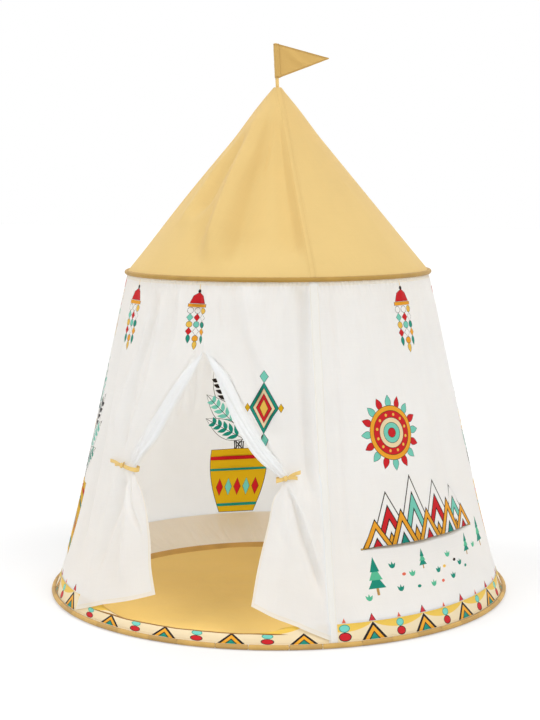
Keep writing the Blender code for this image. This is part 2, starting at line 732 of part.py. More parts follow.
def build_flag(tent):
    pivot_point, axis, out = flag_axes()
    low, high = FLAGPOLE_SPAN
    holder = tent.pivot("flagpole_axis", pivot_point, axis)
    bevel, top_radius = FLAGPOLE_TOP
    stations = [pivot_point + axis * s for s in (low, high - bevel, high)]
    pole = tube(stations, [FLAGPOLE_R, FLAGPOLE_R, top_radius], FLAG_SIDES)
    tent.add("flagpole", pole, "turned_wood", pivot=holder)

    bottom, top = FLAG_SPAN
    side = axis.cross(out)
    start = FLAG_SLEEVE_R - FLAG_SEWN_IN

    def plate(u, v):
        half = (top - bottom) / 2 * (1 - u) + FLAG_TIP_HALF * u
        along = (bottom + top) / 2 + half * (2 * v - 1)
        wave = FLAG_WAVE * math.sin(math.pi * u) * math.sin(math.pi * (u - FLAG_WAVE_SLANT * v))
        reach = start + u * (FLAG_LENGTH - start)
        return pivot_point + axis * along + out * reach + side * (wave * u + CLOTH / 2)

    cloth = thickened(grid(plate, 12, 4), CLOTH)
    sleeve = tube([pivot_point + axis * s for s in FLAG_SPAN], FLAG_SLEEVE_R, FLAG_SIDES)
    ends = (bottom - BORE_OVERRUN, top + BORE_OVERRUN)
    bore = tube([pivot_point + axis * s for s in ends], FLAG_SLEEVE_BORE, FLAG_SIDES)
    tent.add("flag", carved([sleeve, cloth], [bore]), "gold_cotton", pivot=holder)


def main():
    clear_scene()
    tent = Tent()
    build_frame(tent)
    build_hub(tent)
    build_roof(tent)
    build_rims(tent)
    build_pockets(tent)
    build_walls(tent)
    build_door(tent)
    build_flag(tent)


main()
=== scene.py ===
"""Dresses the play tent: printed cotton walls, a cone roof, a tied-back door, a border, a mat and a flag.

Metres, in the frame's axes: +Z up, the door faces -Y. Angles are in degrees about Z, from the door's
middle towards +X. A cloth piece is a surface of two numbers, so its folds, its print and its stitches
are all worked out from the same place on the cloth.
"""

import json
import math

import bpy
import numpy as np
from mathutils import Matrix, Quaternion, Vector
from mathutils.geometry import delaunay_2d_cdt


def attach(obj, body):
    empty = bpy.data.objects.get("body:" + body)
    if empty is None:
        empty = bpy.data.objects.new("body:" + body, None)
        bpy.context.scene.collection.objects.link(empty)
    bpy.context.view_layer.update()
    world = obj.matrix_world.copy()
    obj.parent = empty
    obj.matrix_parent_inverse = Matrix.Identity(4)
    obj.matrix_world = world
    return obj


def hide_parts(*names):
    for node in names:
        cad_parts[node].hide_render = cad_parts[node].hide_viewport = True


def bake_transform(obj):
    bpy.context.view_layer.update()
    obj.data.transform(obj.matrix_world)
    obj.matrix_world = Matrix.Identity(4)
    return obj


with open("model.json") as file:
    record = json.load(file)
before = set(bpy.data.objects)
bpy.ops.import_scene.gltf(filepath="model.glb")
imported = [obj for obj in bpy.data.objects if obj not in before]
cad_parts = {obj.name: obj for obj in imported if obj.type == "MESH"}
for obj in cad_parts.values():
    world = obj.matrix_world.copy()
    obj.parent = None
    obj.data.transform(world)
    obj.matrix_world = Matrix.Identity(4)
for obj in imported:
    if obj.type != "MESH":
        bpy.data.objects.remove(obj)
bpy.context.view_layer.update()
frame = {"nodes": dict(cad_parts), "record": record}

# Camera, fitted to both hoops and the roof's tip in the photograph
CAMERA_BEARING = 23.7
CAMERA_DISTANCE = 3.7755
CAMERA_HEIGHT = 1.0158
CAMERA_PITCH = 6.629
CAMERA_ROLL = -0.16
CAMERA_LENS = 74.874
CAMERA_SHIFT = -0.0115

# Tent: the same driving sizes as the model
POLES = 3
PITCH = 360.0 / POLES
FIRST_POLE = 36.0  # the pole on the door's right
BASE_HOOP = (0.574, 0.006)
EAVE_HOOP = (0.379, 0.804)
PIPING_R = 0.006
WALL_TOP = 0.8000
WALL_BOTTOM = 0.0120
APEX_Z = 1.264
ROOF_SLOPE = 0.8230
ROOF_BOTTOM = 0.8090
ROOF_TIP = 1.2563
ROOF_TUCK = 0.0015  # how far the roof's cloth goes in behind the eave piping
ROOF_OUT = (0.77, 0.63)  # outwards and up, square to the roof's slope
GORE_SHARE = 0.52  # a gore's part of the rectangle round its flat shape
BAND_BOTTOM = 0.0105
BAND_TOP = 0.048
SILL_TOP = 0.0315
SILL_ROLL = 0.0050
SILL_BEND = 2.2  # how far the sill's edge turns over, in radians
SILL_LINE = (-28, 26)  # the brown line's ends
SILL_ANGLES = (17.0, 31.0)  # the band sinks into the doorway's sill between these, on both sides
STRIP_HALF = 0.0105
STRIP_PROUD, STRIP_EDGE = 0.0022, 0.0004  # over the wall, at its middle and edges
STRIP_BOTTOM = 0.0115
SLEEVE_R = 0.0062
SLEEVE_BOTTOM = 0.049
SLEEVE_TURN = 220.0  # how far a sleeve goes round its pole
POLE_INSET = 0.0042
POLE_FOOT_INSET = 0.0070
INSET_HEIGHTS = (0.046, 0.100)  # between these the pole moves from its foot's inset to the wall's
SHEET_R = 0.5672
DISC_MIDDLE = 0.002  # share of a disc's radius left open at its middle
MAT_R = 0.455
MAT_FORWARD = 0.070  # the mat lies this far towards the door
MAT_Z = 0.0030
MAT_BINDING = 0.026
MAT_RISE = 0.009
MAT_SHARE = 0.965  # the mat's cloth inside its bound edge
BINDING_WIDTH = 0.033
CLOTH_PER_HEIGHT = 1.025  # the wall slants, so its cloth is longer than it is high
GATHERED = 1.05  # the wall's cloth to the surface that it covers
CLEAR_OF_GATHERS = (0.0, 0.2)  # places the curtains' cloth where the eave's fine gathers have died out

# Mesh size between the printed outlines
WALL_CELL, DOOR_CELL, CURTAIN_CELL, BORDER_CELL = 0.0080, 0.0050, 0.0040, 0.0085

# The wall's foot, turned in over the ground sheet; it reaches higher at the back, where the door shows it
FACING_TOP = 0.050
FACING_RISE = 0.016
FACING_ANGLES = (40.0, 320.0)
FACING_RISES, FACING_SINKS = (118.0, 138.0), (268.0, 250.0)
FACING_BEND = (0.482, 0.0240)  # radius and height that its curve is drawn towards
FACING_LAP = 0.010  # how far it goes in under the mat
FACING_DEPTH = 0.175
FACING_MIDDLE = 0.53  # radius at which its length is measured
FACING_SHARE = 0.75  # of its length by its depth, as it narrows under the mat

# Door: the sewn edges' angle, then the free edge and the outer line of the rolled fold, as (height, angle)
DOOR_SIDE = 36.0
DOOR_TIP = 0.6400
TIE_Z = 0.367
LEFT_FREE = (
    (0.640, 0.4), (0.563, 5.2), (0.516, 8.7), (0.430, 14.3), (0.368, 20.2),
    (0.344, 19.3), (0.315, 16.3), (0.224, 11.5), (0.151, 9.6), (0.097, 7.3),
)
RIGHT_FREE = (
    (0.640, 0.4), (0.556, 6.2), (0.466, 12.2), (0.396, 19.2), (0.372, 23.0),
    (0.345, 23.8), (0.324, 22.5), (0.270, 21.1), (0.174, 18.6), (0.090, 17.2),
)
LEFT_ROLL = ((0.640, 0.9), (0.593, 7.0), (0.518, 13.6), (0.451, 19.2), (0.400, 23.2), (0.372, 24.6))
RIGHT_ROLL = ((0.640, 0.9), (0.596, 7.0), (0.504, 14.6), (0.432, 20.6), (0.390, 25.0), (0.372, 26.4))
TAIL_FOOT = 0.0135
ROLL_SHARE = 0.50  # the part of the curtain's width that is rolled into the fold
ROLL_TURN = 290  # how far the rolled cloth goes round
ROLL_ROUND, ROLL_HIGHEST = 0.62, 0.0135  # its height to half its width, and its limit
ROLL_PLEATS = ((0.20, 0.055), (0.40, 0.06))  # each pleat's place across the roll, and its width
ROLL_STARTS = (TIE_Z - 0.040, TIE_Z + 0.022)  # from the cloth that fans out to the roll above it
ROLL_PULLED = TIE_Z + 0.03  # the roll is drawn tight from the door's tip down to this height
TIE_WAIST = 0.026  # how far above and below its tie a curtain is drawn in
TIE_REACH = 0.0125
RIBBON_WIDTH = 0.010
BEND_HEIGHTS = (0.350, 0.240)  # between these the cloth bends from the tied part to the swinging tail
BEND_ANGLE = 30.0  # where on the curtain the bend is measured
CURTAIN_PRINT = (0.36, 0.60)  # the flat curtain on which its mesh and print are laid out
CURTAIN_FLAT = (0.33, 0.62)  # the cloth's real flat size; a corner is cut off it
CURTAIN_AREA = 0.135

# Folds: each one's line as (height, angle), the width of its steep side and how far it stands out, in metres
ROOF_FOLDS = (
    (((1.202, -12.5), (1.153, -10.7), (1.087, -8.2), (1.014, -7.3), (0.950, -6.7), (0.893, -5.3),
      (0.833, -2.4)), 0.023, 0.0175),
    (((1.184, 9.4), (1.095, 7.9), (1.030, 6.5), (0.972, 6.0), (0.865, 6.2), (0.815, 6.5)),
     (0.022, 0.078), -0.0160),
    (((1.184, 10.5), (1.139, 12.5), (1.091, 12.0), (1.052, 10.0)), 0.008, -0.0040),
    (((1.140, -22.6), (1.087, -27.2), (1.039, -26.8), (0.992, -24.8), (0.949, -25.8)), 0.021, -0.0125),
    (((1.162, -27.6), (1.083, -38.2), (1.018, -35.4), (0.970, -33.6), (0.936, -34.2)), 0.022, 0.0085),
    (((1.175, 26.4), (1.052, 28.9), (0.988, 29.9), (0.914, 31.0), (0.846, 31.0)), (0.040, 0.014), -0.0125),
    (((0.946, -15.4), (0.921, -15.2), (0.880, -12.9), (0.839, -10.3)), 0.018, -0.0050),
)
WALL_FOLDS = (
    (((0.757, -20.3), (0.696, -20.1), (0.638, -21.0), (0.576, -21.8), (0.524, -22.9), (0.482, -24.4),
      (0.429, -25.7)), 0.009, 0.0058),
    (((0.756, -23.9), (0.705, -23.9), (0.656, -24.8), (0.600, -26.6), (0.551, -27.5), (0.503, -27.9),
      (0.399, -28.4)), 0.010, -0.0072),
    (((0.721, -25.8), (0.658, -27.0), (0.598, -29.6), (0.545, -31.6), (0.497, -34.0), (0.438, -33.8)),
     0.013, 0.0065),
    (((0.700, -46.0), (0.560, -44.5), (0.400, -43.0), (0.160, -42.5)), 0.016, -0.0080),
    (((0.775, -12.0), (0.690, -11.0), (0.600, -14.0)), 0.012, 0.0055),
    (((0.775, -2.1), (0.700, -0.8), (0.630, 0.6)), 0.010, 0.0062),
    (((0.780, 3.8), (0.710, 5.2)), 0.006, 0.0034),
    (((0.780, 12.8), (0.700, 14.5), (0.600, 19.4), (0.480, 22.0)), 0.016, 0.0115),
    (((0.778, 31.4), (0.720, 31.2), (0.620, 30.8), (0.500, 30.6), (0.330, 31.6)), 0.014, -0.0125),
    (((0.775, 26.0), (0.720, 26.5)), 0.009, 0.0045),
    (((0.770, 41.5), (0.640, 42.0), (0.420, 41.5), (0.200, 41.0)), 0.008, -0.0042),
    (((0.740, 50.0), (0.600, 48.5), (0.420, 47.0), (0.200, 46.0)), 0.018, 0.0050),
    (((0.770, 66.0), (0.640, 65.0), (0.500, 66.0)), 0.018, -0.0050),
    (((0.730, 84.0), (0.500, 81.0), (0.300, 80.0)), 0.022, -0.0085),
    (((0.770, 96.0), (0.600, 97.0), (0.400, 96.0)), 0.016, 0.0070),
    (((0.560, 235.5), (0.480, 235.5), (0.380, 235.0)), 0.009, -0.0085),
    (((0.540, 239.0), (0.470, 239.5), (0.370, 240.0)), 0.007, -0.0060),
    (((0.600, 229.0), (0.540, 229.5), (0.480, 229.5)), 0.007, -0.0060),
    (((0.470, 243.0), (0.400, 243.5), (0.330, 244.0)), 0.007, -0.0040),
)
CURTAIN_FOLDS = {
    -1: (
        (((0.632, -3.9), (0.587, -7.5), (0.556, -10.7), (0.517, -13.9), (0.485, -16.1), (0.450, -18.2),
          (0.411, -20.3), (0.380, -22.1)), 0.0034, -0.0034),
        (((0.501, -13.0), (0.451, -16.4), (0.412, -19.0), (0.380, -21.1)), 0.0025, -0.0026),
        (((0.344, -23.6), (0.274, -25.2), (0.218, -26.6), (0.169, -28.0), (0.125, -28.8)), 0.0115, -0.0140),
        (((0.350, -22.1), (0.268, -18.7), (0.246, -16.6), (0.222, -14.7)), 0.0045, -0.0060),
        (((0.350, -22.6), (0.265, -21.0), (0.199, -20.2), (0.120, -19.0)), 0.0100, 0.0080),
        (((0.342, -28.7), (0.286, -29.9), (0.224, -30.7)), 0.0060, 0.0030),
    ),
    1: (
        (((0.637, 0.5), (0.605, 6.4), (0.555, 10.6), (0.504, 15.2), (0.466, 18.5), (0.426, 21.3),
          (0.380, 24.9)), 0.0032, -0.0026),
        (((0.566, 7.1), (0.501, 12.3), (0.440, 17.6), (0.388, 22.5)), 0.0030, -0.0036),
        (((0.358, 24.9), (0.286, 26.0), (0.214, 26.8)), 0.0080, 0.0060),
        (((0.348, 25.8), (0.302, 27.5), (0.243, 29.3), (0.194, 31.1), (0.157, 32.4), (0.124, 33.2)),
         0.0095, -0.0145),
        (((0.354, 25.8), (0.294, 29.4), (0.226, 32.0), (0.172, 33.7)), 0.0035, 0.0036),
        (((0.327, 23.9), (0.286, 23.6), (0.227, 24.2)), 0.0080, -0.0040),
    ),
}
ROOF_FOLD_SCALE, WALL_FOLD_SCALE = 1.6, 1.35  # what the tables' heights are multiplied by
FOLD_ENDS = (0.025, 0.035)  # a fold dies out from its line's end by these, beyond it and inside it
GENTLE_SIDE = 1.8  # how much wider a fold's other side is than its steep one
FAN_RADIUS = 0.26  # where a fold that fans out has the widths of the table
CALM_RADIUS = 0.18  # within this of the tent's middle all folds grow lower
GORE_FOLDS = ((3, 0.0012), (8, 0.0062), (2, 0.0048))  # each gore's number of soft folds, and their height
FOLD_PLACES = (0.11, 0.22, 0.34, 0.45, 0.57, 0.68, 0.79, 0.90)  # where they lie across a gore

# Flag and its pole
POLE_PIVOT_Z = 1.256
FLAGPOLE_LEAN = 2.5
FLAG_BEARING = 23.7
FLAG_SPAN = (0.0262, 0.1098)
FLAG_LENGTH = 0.131
FLAG_START = 0.0050  # from the pole's axis
FLAG_POINT = 0.0012  # half its height at the tip
FLAG_SLEEVE_R = 0.0056

# Border print, whose ovals and triangles take turns: first and last angle, unit and first oval of each run
BORDER_RUNS = (
    (36.0, 156.0, 14.2, 2.8), (156.0, 276.0, 14.2, 2.8), (-84.0, -34.0, 16.0, 5.0), (-34.0, 36.0, 16.4, 5.9),
)

# Light: each lamp's bearing, height, strength and breadth
DAYLIGHT = (0.955, 0.972, 1.0)
SKY_LEVEL = 0.43
LAMPS = {
    "key": (72.0, 47.0, 1.90, 40.0),
    "fill": (-48.0, 43.0, 1.62, 50.0),
    "back": (200.0, 42.0, 1.25, 60.0),
}
FLOOR_HALF, FLOOR_LEVEL = 30.0, -0.0006
FLOOR_TONE = (0.86, 0.86, 0.86)
FLOOR_SEEN, FLOOR_GLOW = (0.520, 0.510, 0.496), 0.360  # as the camera sees it: lit, and glowing towards white


def srgb(red, green, blue):
    """A colour seen on the tent, as the linear values that a material takes."""
    return tuple(((c / 255 + 0.055) / 1.055) ** 2.4 for c in (red, green, blue))


GOLD = srgb(234, 206, 139)
CREAM = srgb(238, 235, 227)
INK = {
    "white": srgb(245, 249, 252),
    "black": srgb(38, 32, 30),
    "red": srgb(205, 32, 40),
    "rose": srgb(214, 60, 74),
    "salmon": srgb(233, 116, 92),
    "mustard": srgb(236, 196, 84),
    "amber": srgb(238, 168, 46),
    "ochre": srgb(222, 178, 22),
    "teal": srgb(28, 146, 128),
    "turquoise": srgb(118, 208, 192),
    "mint": srgb(90, 196, 160),
    "cream": srgb(238, 219, 180),
    "tan": srgb(186, 147, 82),
    "gold": srgb(200, 160, 88),
    "dark_gold": srgb(174, 136, 64),
    # painted shadow: the dark line along the doorway sill's fold
    "sill_shadow_brown": srgb(150, 104, 40),
}


# Shapes shared with the model


def polar(radius, angle, z):
    """Points at radii, angles and heights, which may be arrays."""
    turn = np.radians(angle)
    place = np.broadcast_arrays(radius * np.sin(turn), -radius * np.cos(turn), z + 0.0 * turn)
    return np.stack(place, axis=-1)


def smooth_step(low, high, x):
    t = np.clip((x - low) / (high - low), 0.0, 1.0)
    return t * t * (3.0 - 2.0 * t)


def smooth_curve(points, x):
    """A smooth curve through (x, value) points, held level beyond its ends."""
    xs, ys = (np.array(row) for row in zip(*sorted(points)))
    x = np.clip(x, xs[0], xs[-1])
    i = np.clip(np.searchsorted(xs, x, side="right") - 1, 0, len(xs) - 2)
    slopes = np.gradient(ys, xs)
    step, rise = xs[i + 1] - xs[i], ys[i + 1] - ys[i]
    t = (x - xs[i]) / step
    start, end = slopes[i] * step, slopes[i + 1] * step
    return ys[i] + t * start + t * t * (3 * rise - 2 * start - end) + t**3 * (start + end - 2 * rise)


def wall_radius(z):
    return 0.5568 - 0.2243 * z + 0.0165 * np.exp(-z / 0.078)


def roof_radius(z):
    return ROOF_SLOPE * (APEX_Z - z)


def pole_inset(z):
    return POLE_INSET + (POLE_FOOT_INSET - POLE_INSET) * (1.0 - smooth_step(*INSET_HEIGHTS, z))


def sewn_angle(side, z):
    """The angle at which a curtain is sewn on: under the pole's strip, or beside the front cloth."""
    return DOOR_SIDE if side > 0 else DOOR_SIDE - np.degrees(np.arcsin(STRIP_HALF / wall_radius(z)))


def ripple(x, seed, waves=4):
    """A soft irregular wave of about one unit's length, the same on each run."""
    rng = np.random.default_rng(seed)
    total = 0.0
    for k in range(waves):
        total = total + np.sin(math.tau * x * (0.55 + 0.38 * k) + rng.uniform(0, math.tau)) / (1 + 0.6 * k)
    return total / 2.2


def folds_at(table, angle, z, radius):
    """How far a table's folds lift the cloth at each place.

    Each dies out at its line's ends and is steep on one side: a ridge to its left, a valley to its right.
    One with a width for each side fans out from the tip.
    """
    total = 0.0
    beyond, inside = FOLD_ENDS
    for points, width, height in table:
        top, low = points[0][0], points[-1][0]
        away = np.radians(angle - smooth_curve(points, z)) * radius
        fan = radius / FAN_RADIUS if isinstance(width, tuple) else 1.0
        if isinstance(width, tuple):
            away = away / np.where(away > 0, width[1], width[0]) / fan
        else:
            away = np.where((away > 0) == (height > 0), away / GENTLE_SIDE, away) / width
        ends = smooth_step(low - beyond, low + inside, z) * smooth_step(top + beyond, top - inside, z)
        total = total + height * fan * np.exp(-(away**2)) * ends
    return total * np.minimum(1.0, radius / CALM_RADIUS)


# Cloth objects


def cloth_object(name, points, faces, cloth_uv, material, edge_uv=None, ink=None, normals=None):
    """One mesh piece. cloth_uv gives each face corner's place on the cloth, edge_uv that beside a hem."""
    mesh = bpy.data.meshes.new(name)
    mesh.from_pydata([tuple(p) for p in points], [], [tuple(f) for f in faces])
    mesh.uv_layers.new(name="cloth").data.foreach_set("uv", np.asarray(cloth_uv, dtype=float).ravel())
    if edge_uv is not None:
        mesh.uv_layers.new(name="edge").data.foreach_set("uv", np.asarray(edge_uv, dtype=float).ravel())
    if ink is not None:
        tint = mesh.color_attributes.new("ink", "FLOAT_COLOR", "CORNER")
        sizes = [len(f) for f in faces]
        colours = np.repeat(np.c_[np.array(ink), np.ones(len(ink))], sizes, axis=0)
        tint.data.foreach_set("color", colours.ravel())
    mesh.shade_smooth()
    mesh.materials.append(material)
    mesh.update()
    if normals is not None:
        mesh.normals_split_custom_set_from_vertices([tuple(n) for n in normals])
    obj = bpy.data.objects.new(name, mesh)
    bpy.context.scene.collection.objects.link(obj)
    return obj


def lengths_along(points, axis):
    """Distance along a grid of points from its first row or column, in metres."""
    steps = np.linalg.norm(np.diff(points, axis=axis), axis=-1)
    start = np.zeros_like(np.take(steps, [0], axis=axis))
    return np.concatenate([start, np.cumsum(steps, axis=axis)], axis=axis)


def beside_hems(sides, hems, corners):
    """For each face corner, how far it is from the face's nearest hem, and how far along that hem it lies.

    sides holds both distances of every point for the cloth's edges, which are named l, r, b and t.
    """
    nearest = np.stack([sides[h][0][corners].mean(axis=1) for h in hems]).argmin(axis=0)
    edge_uv = np.zeros((*corners.shape, 2))
    for k, h in enumerate(hems):
        mine = nearest == k
        edge_uv[mine] = np.stack([distance[corners[mine]] for distance in sides[h]], axis=-1)
    return edge_uv


def grid_sheet(name, surface, columns, rows, material, hems="", closed=False):
    """A sheet of surface(u, v) points. hems names its stitched edges: l, r, b and t."""
    u = columns if isinstance(columns, np.ndarray) else np.linspace(0, 1, columns + 1)
    v = rows if isinstance(rows, np.ndarray) else np.linspace(0, 1, rows + 1)
    uu, vv = np.meshgrid(u, v, indexing="ij")
    points = surface(uu, vv)
    across, up = lengths_along(points, 0), lengths_along(points, 1)
    down = up[:, -1:] - up
    cloth_uv = np.stack([across - across[-1:] / 2, down], axis=-1)
    nu, nv = len(u), len(v)
    i, j = (a.ravel() for a in np.meshgrid(np.arange(nu - 1), np.arange(nv - 1), indexing="ij"))
    corners = np.stack([i * nv + j, (i + 1) * nv + j, (i + 1) * nv + j + 1, i * nv + j + 1], axis=1)
    edge_uv = None
    if hems:
        sides = {"l": (across, up), "r": (across[-1:] - across, up), "b": (up, across), "t": (down, across)}
        edge_uv = beside_hems({h: [a.ravel() for a in sides[h]] for h in hems}, hems, corners)
    flat_points = points.reshape(-1, 3)
    cloth_uv = cloth_uv.reshape(-1, 2)[corners]
    if closed:
        last = (nu - 1) * nv
        corners = np.where(corners >= last, corners - last, corners)
        flat_points = flat_points[:last]
    return cloth_object(name, flat_points, corners.tolist(), cloth_uv, material, edge_uv)


def clipped(outline, width, height):
    """The part of an outline that lies on a sheet of this width and height."""
    for axis, limit, sign in ((0, 0.0, 1), (0, width, -1), (1, 0.0, 1), (1, height, -1)):
        kept = []
        for a, b in zip(outline[-1:] + outline[:-1], outline):
            before, now = sign * (a[axis] - limit), sign * (b[axis] - limit)
            if before * now < 0:
                t = before / (before - now)
                kept.append((a[0] + t * (b[0] - a[0]), a[1] + t * (b[1] - a[1])))
            if now >= 0:
                kept.append(tuple(b))
        outline = kept
        if not outline:
            break
    return outline


def printed_sheet(name, surface, size, cell, shapes, base, material, hems="", uv_of=None):
    """A sheet whose faces follow the outlines printed on it.

    surface(x, y) gives points for the flat cloth's metres, size is its width and height, cell its mesh
    size, and shapes are (outline, ink) in those metres, each one over those before it.
    """
    width, height = size
    xs = np.linspace(0, width, max(2, round(width / cell)) + 1)
    ys = np.linspace(0, height, max(2, round(height / cell)) + 1)
    spots = [(x, y) for x in xs for y in ys]
    outlines = [[(0, 0), (width, 0), (width, height), (0, height)]]
    colours = [base]
    for outline, colour in shapes:
        held = clipped(outline, width, height)
        area = sum(a[0] * b[1] - b[0] * a[1] for a, b in zip(held[-1:] + held[:-1], held)) / 2
        if abs(area) > 1e-9:
            outlines.append(held if area > 0 else held[::-1])
            colours.append(colour)
    loops = []
    for outline in outlines:
        loops.append(list(range(len(spots), len(spots) + len(outline))))
        spots.extend(outline)
    verts, _, faces, _, _, sources = delaunay_2d_cdt([Vector(s) for s in spots], [], loops, 0, 1e-6, True)
    flat = np.array([(p.x, p.y) for p in verts])
    kept = [(f, s) for f, s in zip(faces, sources) if len(f) == 3]
    ink = [INK[colours[max(s)] if s else base] for _, s in kept]
    corners = np.array([f for f, _ in kept])
    points = surface(flat[:, 0], flat[:, 1])
    step = 2e-4
    ahead = surface(flat[:, 0] + step, flat[:, 1]) - surface(flat[:, 0] - step, flat[:, 1])
    above = surface(flat[:, 0], flat[:, 1] + step) - surface(flat[:, 0], flat[:, 1] - step)
    normals = np.cross(ahead, above)
    normals /= np.linalg.norm(normals, axis=1, keepdims=True) + 1e-12
    edge_uv = None
    if hems:
        x, y = flat.T
        sides = {"l": (x, y), "r": (width - x, y), "b": (y, x), "t": (height - y, x)}
        edge_uv = beside_hems(sides, hems, corners)
    cloth_uv = uv_of(flat) if uv_of else flat
    return cloth_object(name, points, corners.tolist(), cloth_uv[corners], material, edge_uv, ink, normals)


def dress(piece, slot, *nodes, body="tent", **sheet):
    """Gives a piece its body and hides the solids that it takes the place of; its slot and flat cloth are not
    used.
    """
    if body:
        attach(piece, body)
    if nodes:
        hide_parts(*nodes)


# Materials

FABRIC = {"Specular IOR Level": 0.25, "Sheen Weight": 0.15}
GATHER_PITCH, GATHER_DEPTH = 0.0105, 0.016  # from one fine gather to the next, and how soon they die out
WARMED = (1.0, 0.957, 0.915)  # the light that comes through cotton
STITCH_LENGTH, STITCH_SHARE = 0.0034, 0.74  # from one stitch to the next, and the stitch's part of it
THREAD_HALF, GROOVE_HALF = 0.00038, 0.0016
STITCH_SHADE = (0.90, 0.87, 0.82)


class Graph:
    """Short names for the nodes of one material, or of the world."""

    def __init__(self, name, world=False):
        self.owner = (bpy.data.worlds if world else bpy.data.materials).new(name)
        self.output = "ShaderNodeOutputWorld" if world else "ShaderNodeOutputMaterial"
        self.owner.use_nodes = True
        self.tree = self.owner.node_tree
        self.tree.nodes.clear()

    def feed(self, socket, value):
        if isinstance(value, bpy.types.NodeSocket):
            self.tree.links.new(value, socket)
        elif socket.type == "RGBA" and len(value) == 3:
            socket.default_value = (*value, 1.0)
        else:
            socket.default_value = value

    def add(self, kind, inputs=None, **settings):
        node = self.tree.nodes.new(kind)
        for key, value in settings.items():
            setattr(node, key, value)
        for key, value in (inputs or {}).items():
            self.feed(node.inputs[key], value)
        return node

    def math(self, operation, *values):
        node = self.add("ShaderNodeMath", operation=operation)
        for socket, value in zip(node.inputs, values):
            self.feed(socket, value)
        return node.outputs[0]

    def mix(self, factor, a, b, blend="MIX"):
        node = self.add("ShaderNodeMix", data_type="RGBA", blend_type=blend)
        for index, value in ((0, factor), (6, a), (7, b)):
            self.feed(node.inputs[index], value)
        return node.outputs[2]

    def between(self, value, start, end, low, high):
        node = self.add("ShaderNodeMapRange", {0: value, 1: start, 2: end, 3: low, 4: high})
        return node.outputs[0]

    def place(self, uv=None, stretch=(1, 1, 1)):
        if uv:
            source = self.add("ShaderNodeUVMap", uv_map=uv).outputs[0]
        else:
            source = self.add("ShaderNodeTexCoord").outputs["Object"]
        if tuple(stretch) == (1, 1, 1):
            return source
        return self.add("ShaderNodeMapping", {"Vector": source, "Scale": stretch}).outputs[0]

    def noise(self, place, scale, detail=2.0, distortion=0.0):
        inputs = {"Vector": place, "Scale": scale, "Detail": detail, "Distortion": distortion}
        return self.add("ShaderNodeTexNoise", inputs).outputs[0]

    def split(self, place):
        return self.add("ShaderNodeSeparateXYZ", {0: place}).outputs

    def bump(self, height, strength, distance, normal=None):
        inputs = {"Height": height, "Strength": strength, "Distance": distance}
        if normal is not None:
            inputs["Normal"] = normal
        return self.add("ShaderNodeBump", inputs).outputs[0]

    def ink(self, colour):
        """The colour, or the one printed on the cloth where it is None."""
        return colour or self.add("ShaderNodeAttribute", attribute_name="ink").outputs["Color"]

    def darkened(self, colour, level):
        grey = self.add("ShaderNodeCombineColor", {0: level, 1: level, 2: level}).outputs[0]
        return self.mix(1.0, colour, grey, "MULTIPLY")

    def uneven(self, colour, place, scale, low):
        """The colour with a slow unevenness, as dyed and washed cloth has."""
        return self.darkened(colour, self.between(self.noise(place, scale, 3.0), 0.3, 0.7, low, 1.0))

    def surface(self, base, roughness, normal, more):
        inputs = {"Base Color": base, "Roughness": roughness, "Normal": normal, **more}
        return self.add("ShaderNodeBsdfPrincipled", inputs).outputs[0]

    def finish(self, shader):
        self.add(self.output, {"Surface": shader})
        return self.owner


def weave_height(graph, thread):
    """Plain weave: threads that pass over and under, with yarns of uneven thickness."""
    x, y, _ = graph.split(graph.place("cloth"))
    waves = [graph.math("SINE", graph.math("MULTIPLY", a, math.pi / thread)) for a in (x, y)]
    checks = graph.math("MULTIPLY", *waves)
    along = graph.noise(graph.place("cloth", (14, 620, 1)), 1.0, 1.0)
    across = graph.noise(graph.place("cloth", (620, 14, 1)), 1.0, 1.0)
    yarns = graph.math("ADD", along, across)
    return graph.math("ADD", graph.math("MULTIPLY", checks, 0.25), yarns), yarns


def stitch_marks(graph, inset):
    """A row of stitches beside each hem, and the groove that it pulls into the cloth."""
    away, run, _ = graph.split(graph.place("edge"))
    off = graph.math("ABSOLUTE", graph.math("SUBTRACT", away, inset))
    thread = graph.math("LESS_THAN", off, THREAD_HALF)
    place = graph.math("FRACT", graph.math("DIVIDE", run, STITCH_LENGTH))
    stitch = graph.math("LESS_THAN", place, STITCH_SHARE)
    groove = graph.between(off, 0.0, GROOVE_HALF, 0.0, 1.0)
    fold = graph.between(away, inset + 0.0015, inset + 0.0030, 1.0, 0.0)
    return graph.math("MULTIPLY", thread, stitch), groove, fold


